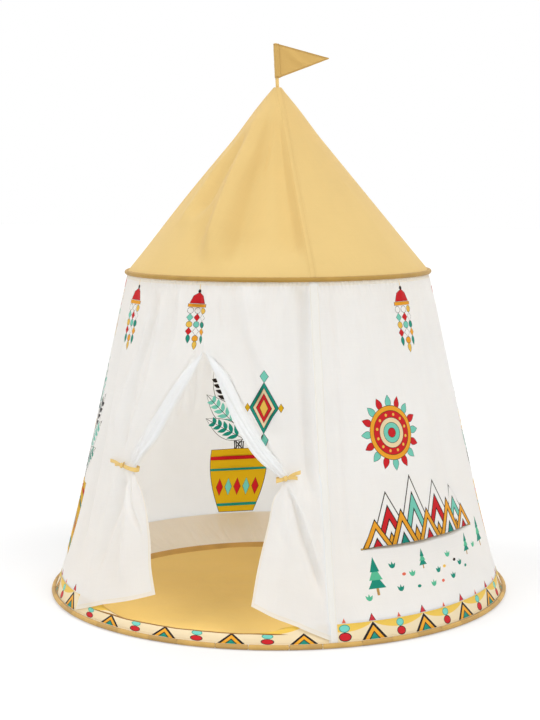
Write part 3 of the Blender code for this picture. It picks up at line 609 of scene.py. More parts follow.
def cotton(name, colour=None, thread=0.0009, clear=0.34, hem=None, hem_tint=None, gather=False, wrinkle=0.25):
    """Woven cotton. Without a colour it takes the printed ink; clear is the share of light let through."""
    graph = Graph(name)
    base = graph.uneven(graph.ink(colour), graph.place(), 7.0, 0.965)
    height, yarns = weave_height(graph, thread)
    base = graph.darkened(base, graph.between(yarns, 0.7, 1.3, 0.975, 1.0))
    soft = graph.noise(graph.place(None, (1, 1, 0.45)), 16.0, 3.0, 0.6)
    normal = graph.bump(soft, wrinkle, 0.004)
    if gather:
        x, y, _ = graph.split(graph.place("cloth"))
        jitter = graph.math("MULTIPLY", graph.noise(graph.place("cloth", (30, 2, 1)), 1.0), 5.0)
        across = graph.math("MULTIPLY", x, math.tau / GATHER_PITCH)
        waves = graph.math("SINE", graph.math("ADD", across, jitter))
        fading = graph.math("POWER", math.e, graph.math("MULTIPLY", y, -1 / GATHER_DEPTH))
        normal = graph.bump(graph.math("MULTIPLY", waves, fading), 0.7, 0.0016, normal)
    if hem:
        marks, groove, fold = stitch_marks(graph, hem)
        normal = graph.bump(graph.math("ADD", groove, fold), 0.6, 0.0006, normal)
        dark = graph.mix(marks, (1.0, 1.0, 1.0), STITCH_SHADE)
        base = graph.mix(1.0, base, dark, "MULTIPLY")
        if hem_tint:
            base = graph.mix(graph.math("MULTIPLY", fold, 0.30), base, hem_tint)
    normal = graph.bump(height, 0.22, 0.0003, normal)
    front = graph.surface(base, 0.86, normal, FABRIC)
    if not clear:
        return graph.finish(front)
    warm = graph.mix(1.0, base, WARMED, "MULTIPLY")
    through = graph.add("ShaderNodeBsdfTranslucent", {"Color": warm, "Normal": normal}).outputs[0]
    return graph.finish(graph.add("ShaderNodeMixShader", {0: clear, 1: front, 2: through}).outputs[0])


def bias_tape(name, colour=None):
    """A narrow strip cut on the slant and folded over: a tight diagonal weave and small pulls."""
    graph = Graph(name)
    base = graph.uneven(graph.ink(colour), graph.place(), 22.0, 0.84)
    x, y, _ = graph.split(graph.place("cloth"))
    slant = graph.math("ADD", graph.math("MULTIPLY", x, 900.0), graph.math("MULTIPLY", y, 900.0))
    threads = graph.math("SINE", slant)
    pulls = graph.noise(graph.place("cloth", (60, 130, 1)), 1.0, 2.0, 0.8)
    normal = graph.bump(pulls, 0.8, 0.0012)
    normal = graph.bump(threads, 0.25, 0.0002, normal)
    return graph.finish(graph.surface(base, 0.8, normal, FABRIC))


def hard(name, colour, roughness, streaks=(1, 1, 1), scale=60.0, depth=0.0002, low=0.93, coat=0.0):
    """A rigid surface with a fine grain, drawn out along one axis where the stuff has one."""
    graph = Graph(name)
    place = graph.place(None, streaks)
    grain = graph.noise(place, scale, 3.0, 0.3)
    base = graph.uneven(colour, place, scale * 0.4, low)
    rough = graph.between(grain, 0.3, 0.7, roughness - 0.06, roughness + 0.06)
    return graph.finish(graph.surface(base, rough, graph.bump(grain, 0.3, depth), {"Coat Weight": coat}))


# Printed shapes, in metres about their own middle or foot

POT_HEIGHT = 0.175


def oval(x, y, half_width, half_height, count=20):
    turns = [math.tau * k / count for k in range(count)]
    return [(x + half_width * math.cos(t), y + half_height * math.sin(t)) for t in turns]


def diamond(x, y, half_width, half_height):
    return [(x + half_width, y), (x, y + half_height), (x - half_width, y), (x, y - half_height)]


def block(x0, y0, x1, y1):
    return [(x0, y0), (x1, y0), (x1, y1), (x0, y1)]


def leaf(x, y, length, width, angle, count=9):
    """A pointed leaf from its foot at x, y; angle is from upright, towards +x."""
    turn = math.radians(angle)
    sin, cos = math.sin(turn), math.cos(turn)
    side = [(k / count, math.sin(math.pi * (k / count) ** 0.8) * width / 2) for k in range(count + 1)]
    edge = side + [(t, -w) for t, w in side[-2:0:-1]]
    return [(x + t * length * sin + w * cos, y + t * length * cos - w * sin) for t, w in edge]


def grown(outline, by):
    """The outline moved outwards from its middle by about a line's width."""
    cx, cy = (sum(p[i] for p in outline) / len(outline) for i in (0, 1))
    result = []
    for x, y in outline:
        far = math.hypot(x - cx, y - cy)
        result.append((cx + (x - cx) * (1 + by / far), cy + (y - cy) * (1 + by / far)))
    return result


def lined(outline, colour, line=0.0012):
    """A filled shape with a dark outline round it."""
    return [(grown(outline, line), "black"), (outline, colour)]


def line_between(a, b, width):
    (x0, y0), (x1, y1) = a, b
    far = math.hypot(x1 - x0, y1 - y0)
    nx, ny = -(y1 - y0) / far * width / 2, (x1 - x0) / far * width / 2
    return [(x0 + nx, y0 + ny), (x0 - nx, y0 - ny), (x1 - nx, y1 - ny), (x1 + nx, y1 + ny)]


def off(at, far, angle):
    """The point this far from another; angle is from upright, towards +x."""
    turn = math.radians(angle)
    return at[0] + far * math.sin(turn), at[1] + far * math.cos(turn)


def pendant(size=1.0):
    """A hanging of beads and diamonds on three strings below a striped cap."""
    shapes = [(block(-0.0007, 0.072, 0.0007, 0.092), "mustard")]
    shapes += lined(oval(0, 0.0735, 0.0042, 0.0050), "black", 0.0002)
    shapes += lined([(-0.024, 0.043), (0.024, 0.043), (0.015, 0.062), (0.0, 0.070), (-0.015, 0.062)], "red")
    shapes += lined(block(-0.0275, 0.0335, 0.0275, 0.0415), "amber")
    strings = (
        (-0.0200, ("white", "turquoise", "mustard", "red")),
        (0.0200, ("mustard", "white", "teal", "amber")),
        (0.0, ("white", "red", "turquoise", "white", "amber")),
    )
    for x, colours in strings:
        drop = 0.0315
        for k, colour in enumerate(colours):
            half = 0.0098 if k % 2 else 0.0074
            if k % 2:
                shapes += lined(diamond(x, drop - half, 0.0084, half), colour, 0.0010)
            else:
                shapes += lined(oval(x, drop - half, 0.0078, half, 14), colour, 0.0010)
            drop -= 2 * half + 0.0008
        shapes += lined(leaf(x, drop + 0.002, 0.022, 0.011, 180), "teal" if x else "mustard", 0.0010)
    return [([(x * size, y * size) for x, y in outline], colour) for outline, colour in shapes]


def chevrons(x, half, height, colours, line=0.0014):
    """A peak of nested triangles over its foot at x."""
    shapes = []
    for k, colour in enumerate(colours):
        share = 1 - k / len(colours)
        inner = share - line * 2.2 / half
        for part, ink in ((share, "black"), (inner, colour)):
            shapes += [([(x - half * part, 0), (x + half * part, 0), (x, height * part)], ink)]
    return shapes


def sun_disc(size=1.12):
    shapes = []
    for k in range(16):
        angle = 22.5 * k
        petal = leaf(*off((0, 0), 0.050 * size, angle), 0.026 * size, 0.014 * size, angle)
        shapes += lined(petal, "red" if k % 2 else "turquoise", 0.0010)
    rings = ((0.054, "amber"), (0.044, "red"), (0.030, "cream"), (0.020, "turquoise"), (0.009, "red"))
    for radius, colour in rings:
        shapes += lined(oval(0, 0, radius * size, radius * size, 40), colour)
    for k in range(12):
        shapes += [(oval(*off((0, 0), 0.037 * size, 30 * k + 15), 0.0034, 0.0034, 10), "mustard")]
    return shapes


def mountains():
    """Two rows of striped peaks over a dotted ground line."""
    shapes = []
    back = ((-0.105, 0.120), (-0.030, 0.150), (0.050, 0.128), (0.125, 0.105))
    for k, (at, height) in enumerate(back):
        shapes += chevrons(at, 0.062, height, ("white", "turquoise" if k % 2 else "red", "white", "amber"))
    front = ((-0.145, 0.062), (-0.070, 0.078), (0.012, 0.070), (0.092, 0.082), (0.160, 0.056))
    for k, (at, height) in enumerate(front):
        shapes += chevrons(at, 0.040, height, ("amber", "white", "teal" if k % 2 else "red"))
    shapes += [(block(-0.190, -0.0045, 0.200, 0), "black")]
    shapes += [(block(-0.189, -0.0035, 0.199, -0.001), "mustard")]
    return shapes


def pine(x, y, size):
    shapes = [(block(x - 0.0022 * size, y - 0.010 * size, x + 0.0022 * size, y), "tan")]
    for k in range(3):
        low = y + 0.012 * size * k
        half = (0.015 - 0.0035 * k) * size
        shapes += [([(x - half, low), (x + half, low), (x, low + 0.022 * size)], "mint" if k % 2 else "teal")]
    return shapes


def ground_bits():
    """Pines, stones and tufts strewn below the mountains."""
    shapes = []
    for x, y, size in ((-0.165, -0.075, 1.5), (0.150, -0.040, 0.9), (-0.030, -0.040, 0.8)):
        shapes += pine(x, y, size)
    tufts = (
        (-0.118, -0.036), (-0.066, -0.060), (0.020, -0.066), (0.062, -0.038), (0.105, -0.064),
        (0.190, -0.040), (-0.105, -0.088), (-0.005, -0.092), (0.070, -0.088), (-0.190, -0.100),
    )
    for k, (x, y) in enumerate(tufts):
        for lean in (-38, 0, 38):
            shapes += [(leaf(x, y, 0.015, 0.0062, lean), "mint" if k % 2 else "teal")]
    stones = (
        (-0.090, -0.052, "salmon"), (-0.052, -0.084, "teal"), (0.044, -0.056, "mustard"),
        (0.084, -0.048, "black"), (0.030, -0.086, "salmon"), (0.130, -0.070, "teal"),
    )
    for x, y, colour in stones:
        shapes += [(oval(x, y, 0.0056, 0.0036, 10), colour)]
    return shapes


def potted_plant(size=1.0):
    """A tall plant with broad striped leaves in a large patterned pot, drawn from the pot's foot."""
    shapes = []
    stems = (
        (0.000, 0.475, 0), (-0.032, 0.430, -16), (0.034, 0.435, 15), (-0.056, 0.372, -30), (0.056, 0.380, 28),
        (-0.064, 0.310, -46), (0.062, 0.320, 44), (-0.054, 0.252, -62), (0.054, 0.258, 60),
    )
    fills = ("teal", "black", "turquoise", "mustard", "black", "teal", "turquoise", "black", "teal")
    rim, length = POT_HEIGHT * size, 0.120 * size
    for (x, top, lean), fill in zip(stems, fills):
        turn = math.radians(lean)
        foot = (x * size - length * math.sin(turn) * 0.62, top * size - length * math.cos(turn) * 0.92)
        shapes += [(line_between((x * 0.18 * size, rim), foot, 0.0030), "black")]
        shapes += lined(leaf(*foot, length, 0.048 * size, lean), "white", 0.0016)
        for k in range(5):
            at = off(foot, length * (0.14 + 0.15 * k), lean)
            for hand in (-1, 1):
                shapes += [(leaf(*at, 0.031 * size * (1 - 0.09 * k), 0.011 * size, lean + hand * 42), fill)]
        shapes += [(line_between(foot, off(foot, length, lean), 0.0016), "black")]

    def pot_half(level):
        return (0.046 + 0.030 * math.sin(math.pi * min(1.0, level / POT_HEIGHT) * 0.62)) * size

    levels = [POT_HEIGHT * k / 10 for k in range(11)]
    side = [(pot_half(level), level * size) for level in levels]
    shapes += lined(side + [(-w, z) for w, z in side[::-1]], "ochre", 0.0018)
    for level, deep, colour in ((0.020, 0.009, "teal"), (0.120, 0.007, "teal"), (0.152, 0.011, "red")):
        half, middle = pot_half(level), level * size
        shapes += lined(block(-half, middle - deep / 2, half, middle + deep / 2), colour, 0.0008)
    for k in range(-2, 3):
        shapes += lined(diamond(0.0240 * k * size, 0.070 * size, 0.0095, 0.024 * size),
                        "turquoise" if k % 2 else "red", 0.0012)
    return shapes


def medallion(size=1.0):
    """Nested stepped diamonds with a small one on each of their four sides."""
    shapes = []
    for half, tall, colour in (
        (0.034, 0.060, "teal"), (0.026, 0.047, "cream"), (0.018, 0.034, "red"), (0.010, 0.020, "mustard"),
    ):
        shapes += lined(diamond(0, 0, half * size, tall * size), colour, 0.0013)
    for side in (-1, 1):
        shapes += lined(diamond(0, side * 0.074 * size, 0.010 * size, 0.014 * size), "turquoise")
        shapes += lined(diamond(side * 0.040 * size, 0, 0.006 * size, 0.010 * size), "ochre", 0.0010)
    return shapes


# The parts


def as_seen(graph, plain, seen):
    """One shader for the light that falls on the tent, another for what the camera and gloss see."""
    path = graph.add("ShaderNodeLightPath").outputs
    looked_at = graph.math("MAXIMUM", path["Is Camera Ray"], path["Is Glossy Ray"])
    return graph.finish(graph.add("ShaderNodeMixShader", {0: looked_at, 1: plain, 2: seen}).outputs[0])


def build_stage():
    """A pale floor that holds the tent's shadow, a white surround and soft light."""
    scene = bpy.context.scene
    graph = Graph("studio_floor")
    matt = graph.add("ShaderNodeBsdfDiffuse", {"Color": FLOOR_TONE}).outputs[0]
    pale = graph.add("ShaderNodeBsdfDiffuse", {"Color": FLOOR_SEEN}).outputs[0]
    light = graph.add("ShaderNodeEmission", {"Color": (1, 1, 1), "Strength": FLOOR_GLOW}).outputs[0]
    lifted = graph.add("ShaderNodeAddShader", {0: pale, 1: light}).outputs[0]
    mesh = bpy.data.meshes.new("studio_floor")
    spots = [(x, y, FLOOR_LEVEL) for x, y in block(-FLOOR_HALF, -FLOOR_HALF, FLOOR_HALF, FLOOR_HALF)]
    mesh.from_pydata(spots, [], [(0, 1, 2, 3)])
    mesh.materials.append(as_seen(graph, matt, lifted))
    floor = bpy.data.objects.new("studio_floor", mesh)
    scene.collection.objects.link(floor)

    sky = Graph("studio", world=True)
    around = sky.add("ShaderNodeBackground", {"Color": DAYLIGHT, "Strength": SKY_LEVEL}).outputs[0]
    white = sky.add("ShaderNodeBackground", {"Color": (1, 1, 1), "Strength": 1.0}).outputs[0]
    scene.world = as_seen(sky, around, white)

    for name, (bearing, height, strength, soft) in LAMPS.items():
        lamp = bpy.data.lights.new(name, "SUN")
        lamp.energy = strength
        lamp.angle = math.radians(soft)
        lamp.color = DAYLIGHT
        holder = bpy.data.objects.new(name, lamp)
        turn, rise = math.radians(bearing), math.radians(height)
        towards = Vector((math.sin(turn) * math.cos(rise), -math.cos(turn) * math.cos(rise), math.sin(rise)))
        holder.rotation_mode = "QUATERNION"
        holder.rotation_quaternion = towards.to_track_quat("Z", "Y")
        scene.collection.objects.link(holder)
    scene.view_settings.view_transform = "Standard"


def build_camera():
    data = bpy.data.cameras.new("camera")
    data.lens = CAMERA_LENS
    data.sensor_width = 36.0
    data.shift_x = CAMERA_SHIFT
    data.clip_end = 200.0
    camera = bpy.data.objects.new("camera", data)
    turn = math.radians(CAMERA_BEARING)
    camera.location = (CAMERA_DISTANCE * math.sin(turn), -CAMERA_DISTANCE * math.cos(turn), CAMERA_HEIGHT)
    pitch = math.radians(CAMERA_PITCH)
    look = Vector((-math.sin(turn) * math.cos(pitch), math.cos(turn) * math.cos(pitch), -math.sin(pitch)))
    roll = Quaternion((0, 0, 1), math.radians(CAMERA_ROLL))
    camera.rotation_mode = "QUATERNION"
    camera.rotation_quaternion = look.to_track_quat("-Z", "Y") @ roll
    bpy.context.scene.collection.objects.link(camera)
    bpy.context.scene.camera = camera


def roof_fold(k, u, v, z):
    """How far a gore's cloth stands out: soft folds that run from the tip and fade at the eave."""
    reach = np.sin(math.pi * np.clip(v, 0, 1) ** 0.8)
    radius = roof_radius(z)
    seam_away = np.minimum(u, 1 - u) * math.radians(PITCH) * radius
    sag = 0.0045 * np.exp(-seam_away / 0.022) * np.minimum(1, reach * 2)
    rng = np.random.default_rng(41 + k)
    folds = 0.0
    count, high = GORE_FOLDS[k]
    for centre in FOLD_PLACES[:count]:
        at, bend = centre + rng.uniform(-0.04, 0.04), rng.uniform(-0.03, 0.03)
        middle, width, size = rng.uniform(0.3, 0.7), rng.uniform(0.018, 0.034), rng.uniform(0.4, 1.0)
        tall = np.exp(-(((v - middle) / 0.34) ** 2))
        line = at + bend * (4 * (v - 0.55) ** 2 - 0.3)
        folds = folds + size * np.exp(-(((u - line) / width) ** 2)) * tall
    folds = high * folds * reach
    if k == POLES - 1:
        drawn = ROOF_FOLD_SCALE * folds_at(ROOF_FOLDS, FIRST_POLE + (u - 1) * PITCH, z, radius)
        folds = folds + drawn * smooth_step(0.0, 0.24, v)
    gathers = 0.0010 * ripple(u * PITCH / 2.6, 43 + k) * np.exp(-v / 0.05) * smooth_step(0.0, 0.02, v)
    blunt = 0.0034 * smooth_step(0.72, 0.90, v)
    return sag + blunt + (folds + gathers) * smooth_step(0.0, 0.05, u) * smooth_step(1.0, 0.97, u)


def build_roof(gold):
    wide = math.radians(PITCH) * roof_radius(ROOF_BOTTOM)
    slant = (ROOF_TIP - ROOF_BOTTOM) * math.hypot(1, ROOF_SLOPE)
    near_seam = np.array([0.0, 0.0025, 0.0055, 0.0085, 0.012, 0.018, 0.027])
    columns = np.concatenate([near_seam, np.linspace(0.038, 0.962, 150), 1 - near_seam[::-1]])
    for k in range(POLES):

        def gore(u, v, k=k):
            z = ROOF_BOTTOM - ROOF_TUCK + v * (ROOF_TIP - ROOF_BOTTOM + ROOF_TUCK)
            radius = roof_radius(z)
            seam_away = np.minimum(u, 1 - u) * math.radians(PITCH) * radius
            out = roof_fold(k, u, v, z) + 0.0008 * smooth_step(0.0085, 0.0070, seam_away)
            away, up = (out * part for part in ROOF_OUT)
            return polar(radius + away, FIRST_POLE + k * PITCH + u * PITCH, z + up)

        roof = grid_sheet(f"roof_cloth_{k + 1}", gore, columns, 80, gold, "lr")
        dress(roof, "gold_cotton", f"roof_gore_{k + 1}", flat=(wide, slant), held="stretched",
              area=wide * slant * GORE_SHARE,
              rests_on=[f"roof_rod_{k + 1}", f"roof_rod_{(k + 1) % POLES + 1}"])


def wall_fold(angle, z):
    """Soft folds that hang from the eave and die out downwards."""
    down = WALL_TOP - z
    strength = 0.0034 * smooth_step(0.0, 0.03, down) * np.exp(-down / 0.16)
    long_waves = 0.0026 * smooth_step(0.0, 0.1, down) * smooth_step(0.02, 0.15, z)
    return strength * ripple(angle / 6.2, 3) + long_waves * ripple(angle / 17.0 + 0.12 * z, 8)


def wall_prints():
    """What is printed on each stretch of wall, as (shapes, angle, height of their foot or middle)."""
    hanging, sun, hills, bits = pendant(), sun_disc(), mountains(), ground_bits()
    return {
        "right": [(hanging, 72.3, 0.703), (sun, 58.5, 0.452), (hills, 66.0, 0.205), (bits, 66.0, 0.190),
                  (pine(0, 0, 1.3), 92.5, 0.155), (hanging, 107.0, 0.703),
                  (potted_plant(), 118.0, 0.095), (hanging, 140.0, 0.703)],
        "back": [(hanging, 168.0, 0.703), (hills, 181.0, 0.205), (bits, 181.0, 0.190), (sun, 177.0, 0.450),
                 (hanging, 210.0, 0.703), (potted_plant(1.10), 217.0, 0.071),
                 (hanging, 246.0, 0.703), (medallion(), 258.0, 0.400)],
        "left": [(hanging, -37.2, 0.703), (hanging, -58.5, 0.720), (potted_plant(1.05), -61.0, 0.100)],
    }


def border_tips(first, last, unit, first_oval):
    """Red tips on the wall just above the border, as (outline, colour) of angles and heights."""
    shapes = []
    low = BAND_TOP + 0.0012
    for spot, is_oval in border_spots(first, last, unit, first_oval):
        half, tall, colour = (0.0050, 0.0105, "salmon") if is_oval else (0.0072, 0.0145, "rose")
        wide = math.degrees(half / wall_radius(BAND_TOP))
        if not is_oval:
            around, peak = 1.25 * wide, (spot - 0.1 * wide, low + tall * 1.12)
            shapes.append(([(spot - around, low), (spot + around, low), peak], "black"))
        shapes.append(([(spot - wide, low), (spot + wide, low), (spot, low + tall)], colour))
    return shapes


def border_spots(first, last, unit, first_oval):
    """The middle angles of the border's ovals and triangles between two poles."""
    spots = []
    at = first + first_oval
    is_oval = True
    while at < last - 1.0:
        spots.append((at, is_oval))
        at += unit / 2
        is_oval = not is_oval
    return spots


def header_fold(angle, z):
    """Gathers over the door, drawn from the eave to the tip of the door's slit."""
    away = np.abs(z - DOOR_TIP) / 0.070
    drawn = 0.0022 * np.exp(-(angle / 9.0) ** 2) * np.exp(-away)
    return drawn * np.cos(math.tau * angle / (5.5 + 2.5 * away))


def wall_face(angle, z):
    """The radius of the cloth's face all round, tucked inside the border band at its foot."""
    from_pole = np.abs((angle - FIRST_POLE + PITCH / 2) % PITCH - PITCH / 2)
    hold = smooth_step(0.0, 3.5, from_pole)
    folds = wall_fold(angle, z) + header_fold(angle, z)
    folds = folds + WALL_FOLD_SCALE * folds_at(WALL_FOLDS, angle, z, wall_radius(z))
    return wall_radius(z) + hold * folds


def wall_piece(name, node, cloth, start, end, low, cell, prints, border=(), hems="bt"):
    """A printed piece of wall between two angles, each a function of height, from low to the eave."""
    middle_turn = math.radians(float(end(0.4) - start(0.4)))
    width, height = middle_turn * float(wall_radius(0.4)), WALL_TOP - low

    def surface(x, y):
        z = low + y
        first, last = start(z), end(z)
        angle = first + x / width * (last - first)
        tuck = 0.0018 * smooth_step(BAND_TOP + 0.003, BAND_TOP - 0.003, z)
        return polar(wall_face(angle, z) - tuck, angle, z)

    def flat_spot(angle, z):
        first, last = float(start(z)), float(end(z))
        return (angle - first) / (last - first) * width, z - low

    def place(flat):
        z = low + flat[:, 1]
        turn = np.radians(end(z) - start(z))
        across = (flat[:, 0] / width - 0.5) * turn * wall_radius(z)
        return np.stack([across, (WALL_TOP - z) * CLOTH_PER_HEIGHT], axis=1)

    shapes = []
    for motif, at, foot in prints:
        for outline, colour in motif:
            spots = [flat_spot(at + math.degrees(x / wall_radius(foot + y)), foot + y) for x, y in outline]
            shapes.append((spots, colour))
    for outline, colour in border:
        shapes.append(([flat_spot(*spot) for spot in outline], colour))
    wall = printed_sheet(name, surface, (width, height), cell, shapes, "white", cloth, hems, place)
    area = middle_turn * float(wall_radius((low + WALL_TOP) / 2)) * height * GATHERED
    wide, tall = middle_turn * float(wall_radius(low)), height * CLOTH_PER_HEIGHT
    dress(wall, "white_cotton", node, flat=(wide, tall), held="gathered", area=min(area, wide * tall),
          rests_on=["eave_piping_cloth"])


def build_walls(cloth):
    prints = wall_prints()

    def pole_line(k):
        return lambda z: FIRST_POLE + k * PITCH + 0.0 * z

    def left_seam(z):
        return -sewn_angle(-1, z)

    for name, start, end, run in (
        ("right", pole_line(0), pole_line(1), 0),
        ("back", pole_line(1), pole_line(2), 1),
        ("left", pole_line(-1), left_seam, 2),
    ):
        wall_piece(f"wall_cloth_{name}", f"wall_panel_{name}", cloth, start, end, WALL_BOTTOM, WALL_CELL,
                   prints[name], border_tips(*BORDER_RUNS[run]))
    wall_piece("door_header_cloth", "door_header", cloth, left_seam, pole_line(0), DOOR_TIP, DOOR_CELL,
               [(pendant(0.88), -4.4, 0.711), (pendant(), -37.2, 0.703)], hems="t")


def curtain_surface(side, free_points, roll_points):
    """A whole curtain. u runs from the pole to the free edge, v from the hem to the door's tip.

    Above the tie the free part is rolled into a thick fold; below it the cloth fans out in soft folds.
    """
    foot = free_points[-1][0]

    def hem(u):
        return TAIL_FOOT + (foot - TAIL_FOOT) * (0.85 * u + 0.15 * u**3)

    def surface(u, v):
        z = hem(u) + v * (DOOR_TIP - hem(u))
        free = smooth_curve(free_points, z)
        roll = smooth_curve(roll_points, z)
        radius = wall_radius(z)
        waist = np.exp(-(((z - TIE_Z) / TIE_WAIST) ** 2))
        high = smooth_step(*ROLL_STARTS, z)
        down = smooth_step(DOOR_TIP, ROLL_PULLED, z)

        # above the tie: flat cloth, then a roll whose section is part of an ellipse
        sewn = sewn_angle(side, z)
        t = np.clip(u / (1 - ROLL_SHARE), 0, 1)
        s = np.clip((u - (1 - ROLL_SHARE)) / ROLL_SHARE, 0, 1)
        flat_angle = sewn + t * (roll - sewn)
        half = (roll - free) / 2
        turn = np.radians(180 - ROLL_TURN * s)
        lift = np.clip(ROLL_ROUND * np.radians(half) * radius, 0, ROLL_HIGHEST) * (1 - 0.30 * waist)
        pleats = 1 - 0.38 * down * sum(np.exp(-((s - at) / wide) ** 2) for at, wide in ROLL_PLEATS)
        rolled_angle = roll - half * (1 + np.cos(turn))
        in_roll = u > 1 - ROLL_SHARE
        up_angle = np.where(in_roll, rolled_angle, flat_angle)
        pulled = 0.0032 * down * t**2 * np.sin(math.pi * (2.2 * t + 4.0 * (z - TIE_Z)))
        up_out = np.where(in_roll, lift * np.sin(turn) * pleats, pulled * (1 - smooth_step(0.85, 1.0, t)))

        # below the tie: the same cloth spread out, its folds running up into the tie
        fall = np.clip((TIE_Z - z) / (TIE_Z - 0.02), 0, 1)
        bundle = 0.62 - 0.20 * smooth_step(0.0, 0.5, fall)
        share = np.where(in_roll, bundle + (1 - bundle) * s, bundle * t)
        low_angle = sewn + share * (free - sewn)
        depth = 0.0030 + 0.0075 * smooth_step(0.0, 0.35, fall) * (1 - 0.25 * fall)
        spread = smooth_step(0.10, 0.45, share) * (1 - 0.6 * smooth_step(0.93, 1.0, share))
        swing = 0.05 * np.sin(5.0 * fall + side)
        waves = 0.35 * (1 - np.cos(math.tau * (2.6 * (share - 0.12) + swing)))
        narrow = 0.25 * np.cos(math.tau * (6.1 * share - 0.6 * fall)) * smooth_step(0.5, 0.0, fall)
        low_out = 0.0030 + depth * spread * (waves + narrow) * 0.55 + 0.004 * waist

        angle = side * (high * up_angle + (1 - high) * low_angle)
        out = high * up_out + (1 - high) * low_out
        outer = np.where(in_roll & (z > TIE_Z), np.clip(np.sin(turn) * 2, 0, 1), 1.0)
        out = out + outer * folds_at(CURTAIN_FOLDS[side], angle, z, radius)
        from_seam = smooth_step(0.0, 0.10, u)
        over_band = 0.0012 * smooth_step(BAND_TOP + 0.012, BAND_TOP, z)
        return polar(wall_face(angle, z) + over_band + from_seam * out, angle, z)

    return surface, hem


def build_curtains(cloth):
    medallion_angle, medallion_height = 19.5, 0.520
    width, height = CURTAIN_PRINT
    for side, name, free_points, roll_points in (
        (-1, "left", LEFT_FREE, LEFT_ROLL),
        (1, "right", RIGHT_FREE, RIGHT_ROLL),
    ):
        surface, hem = curtain_surface(side, free_points, roll_points)

        def sheet(x, y, surface=surface, side=side):
            across = x / width if side < 0 else 1 - x / width
            return surface(np.clip(across, 0, 1), np.clip(y / height, 0, 1))

        def flat_place(angle, z, roll_points=roll_points, hem=hem):
            roll = float(smooth_curve(roll_points, np.array(z)))
            u = (DOOR_SIDE - angle) / (DOOR_SIDE - roll) * (1 - ROLL_SHARE)
            low = float(hem(np.array(u)))
            return (1 - u) * width, (z - low) / (DOOR_TIP - low) * height

        shapes = []
        if side > 0:
            for outline, colour in medallion(0.95):
                flat = [flat_place(medallion_angle + math.degrees(x / wall_radius(medallion_height)),
                                   medallion_height + y) for x, y in outline]
                shapes.append((flat, colour))
        hems = "br" if side < 0 else "bl"
        curtain = printed_sheet(f"{name}_curtain_cloth", sheet, CURTAIN_PRINT, CURTAIN_CELL, shapes, "white",
                                cloth, hems, lambda flat: flat + CLEAR_OF_GATHERS)
        top, foot = (polar(float(wall_radius(z)), side * BEND_ANGLE, z).tolist() for z in BEND_HEIGHTS)
        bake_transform(curtain)
        dress(curtain, "white_cotton", f"{name}_curtain", f"{name}_curtain_tail", body=None,
              flat=CURTAIN_FLAT, held="gathered", area=CURTAIN_AREA, rests_on=[f"{name}_ribbon"])


def build_rims(tape):
    """The piping of both hoops; the base hoop's has darker stretches, where the border's triangles are."""
    around = math.tau * PIPING_R
    metre = math.radians(1) * BASE_HOOP[0]
    stretches = []
    for run in BORDER_RUNS:
        for spot, is_oval in border_spots(*run):
            if not is_oval:
                centre = ((spot + 180) % 360) * metre
                stretches.append((block(centre - 0.034, 0, centre + 0.040, around), "tan"))
    for name, (radius, z), cell, swell, seed, shapes, ink in (
        ("base", BASE_HOOP, 0.0030, 0.03, 5, stretches, "gold"),
        ("eave", EAVE_HOOP, 0.0032, 0.05, 6, [], "dark_gold"),
    ):

        def rim(x, y, radius=radius, z=z, swell=swell, seed=seed):
            angle, turn = x / (math.radians(1) * radius) - 180, y / PIPING_R
            size = PIPING_R * (1 - swell + swell * ripple(angle / 2.3, seed) * 0.6)
            return polar(radius + size * np.cos(turn), angle, z - size * np.sin(turn))

        flat = (math.tau * radius, around)
        piping = printed_sheet(f"{name}_piping_cloth", rim, flat, cell, shapes, ink, tape)
        dress(piping, "gold_piping", f"{name}_piping", flat=flat, held="folded",
              rests_on=[f"{name}_hoop_rod_{k + 1}" for k in range(POLES)])


def build_border(print_cloth):
    """The printed band round the foot, which sinks and rolls over into a sill in the doorway."""
    scale = math.radians(1) * wall_radius(0.025)
    width, height = 360 * scale, BAND_TOP - BAND_BOTTOM

    def band(x, y):
        angle = x / scale - 180
        sill = 1.0 - smooth_step(*SILL_ANGLES, np.abs(angle))
        flat_part = height + sill * (SILL_TOP - SILL_ROLL - BAND_TOP)
        bend = np.clip((y - flat_part) / SILL_ROLL, 0, SILL_BEND)
        rest = np.maximum(y - flat_part - SILL_BEND * SILL_ROLL, 0)
        z = BAND_BOTTOM + np.minimum(y, flat_part) + SILL_ROLL * np.sin(bend) + rest * math.cos(SILL_BEND)
        inward = SILL_ROLL * (1 - np.cos(bend)) + rest * math.sin(SILL_BEND)
        droop = 0.0010 * sill * ripple(angle / 9.0, 12) * y / height
        return polar(wall_radius(z) - inward + droop, angle, z + 0.0006 * sill * ripple(angle / 7.0, 13))

    shapes = []
    for run in BORDER_RUNS:
        shapes += border_shapes(*run, scale, height)
    # painted shadow: a thin dark brown line along the sill's fold, where the band rolls over in the doorway,
    # drawn as a lens that ends in points
    fold = SILL_TOP - BAND_BOTTOM - 0.0006
    first, last = SILL_LINE
    edge = [(180 + first + (last - first) * k / 24, 0.0048 * math.sin(math.pi * k / 24) ** 0.4)
            for k in range(25)]
    lens = [(angle * scale, fold) for angle, _ in edge[::-1]]
    shapes.append((lens + [(angle * scale, fold + deep) for angle, deep in edge[1:-1]], "sill_shadow_brown"))
    size = (width, height)
    cloth = printed_sheet("border_band_cloth", band, size, BORDER_CELL, shapes, "cream", print_cloth, "tb")
    dress(cloth, "border_print", "border_band", flat=size, held="hung", rests_on=["base_piping_cloth"])


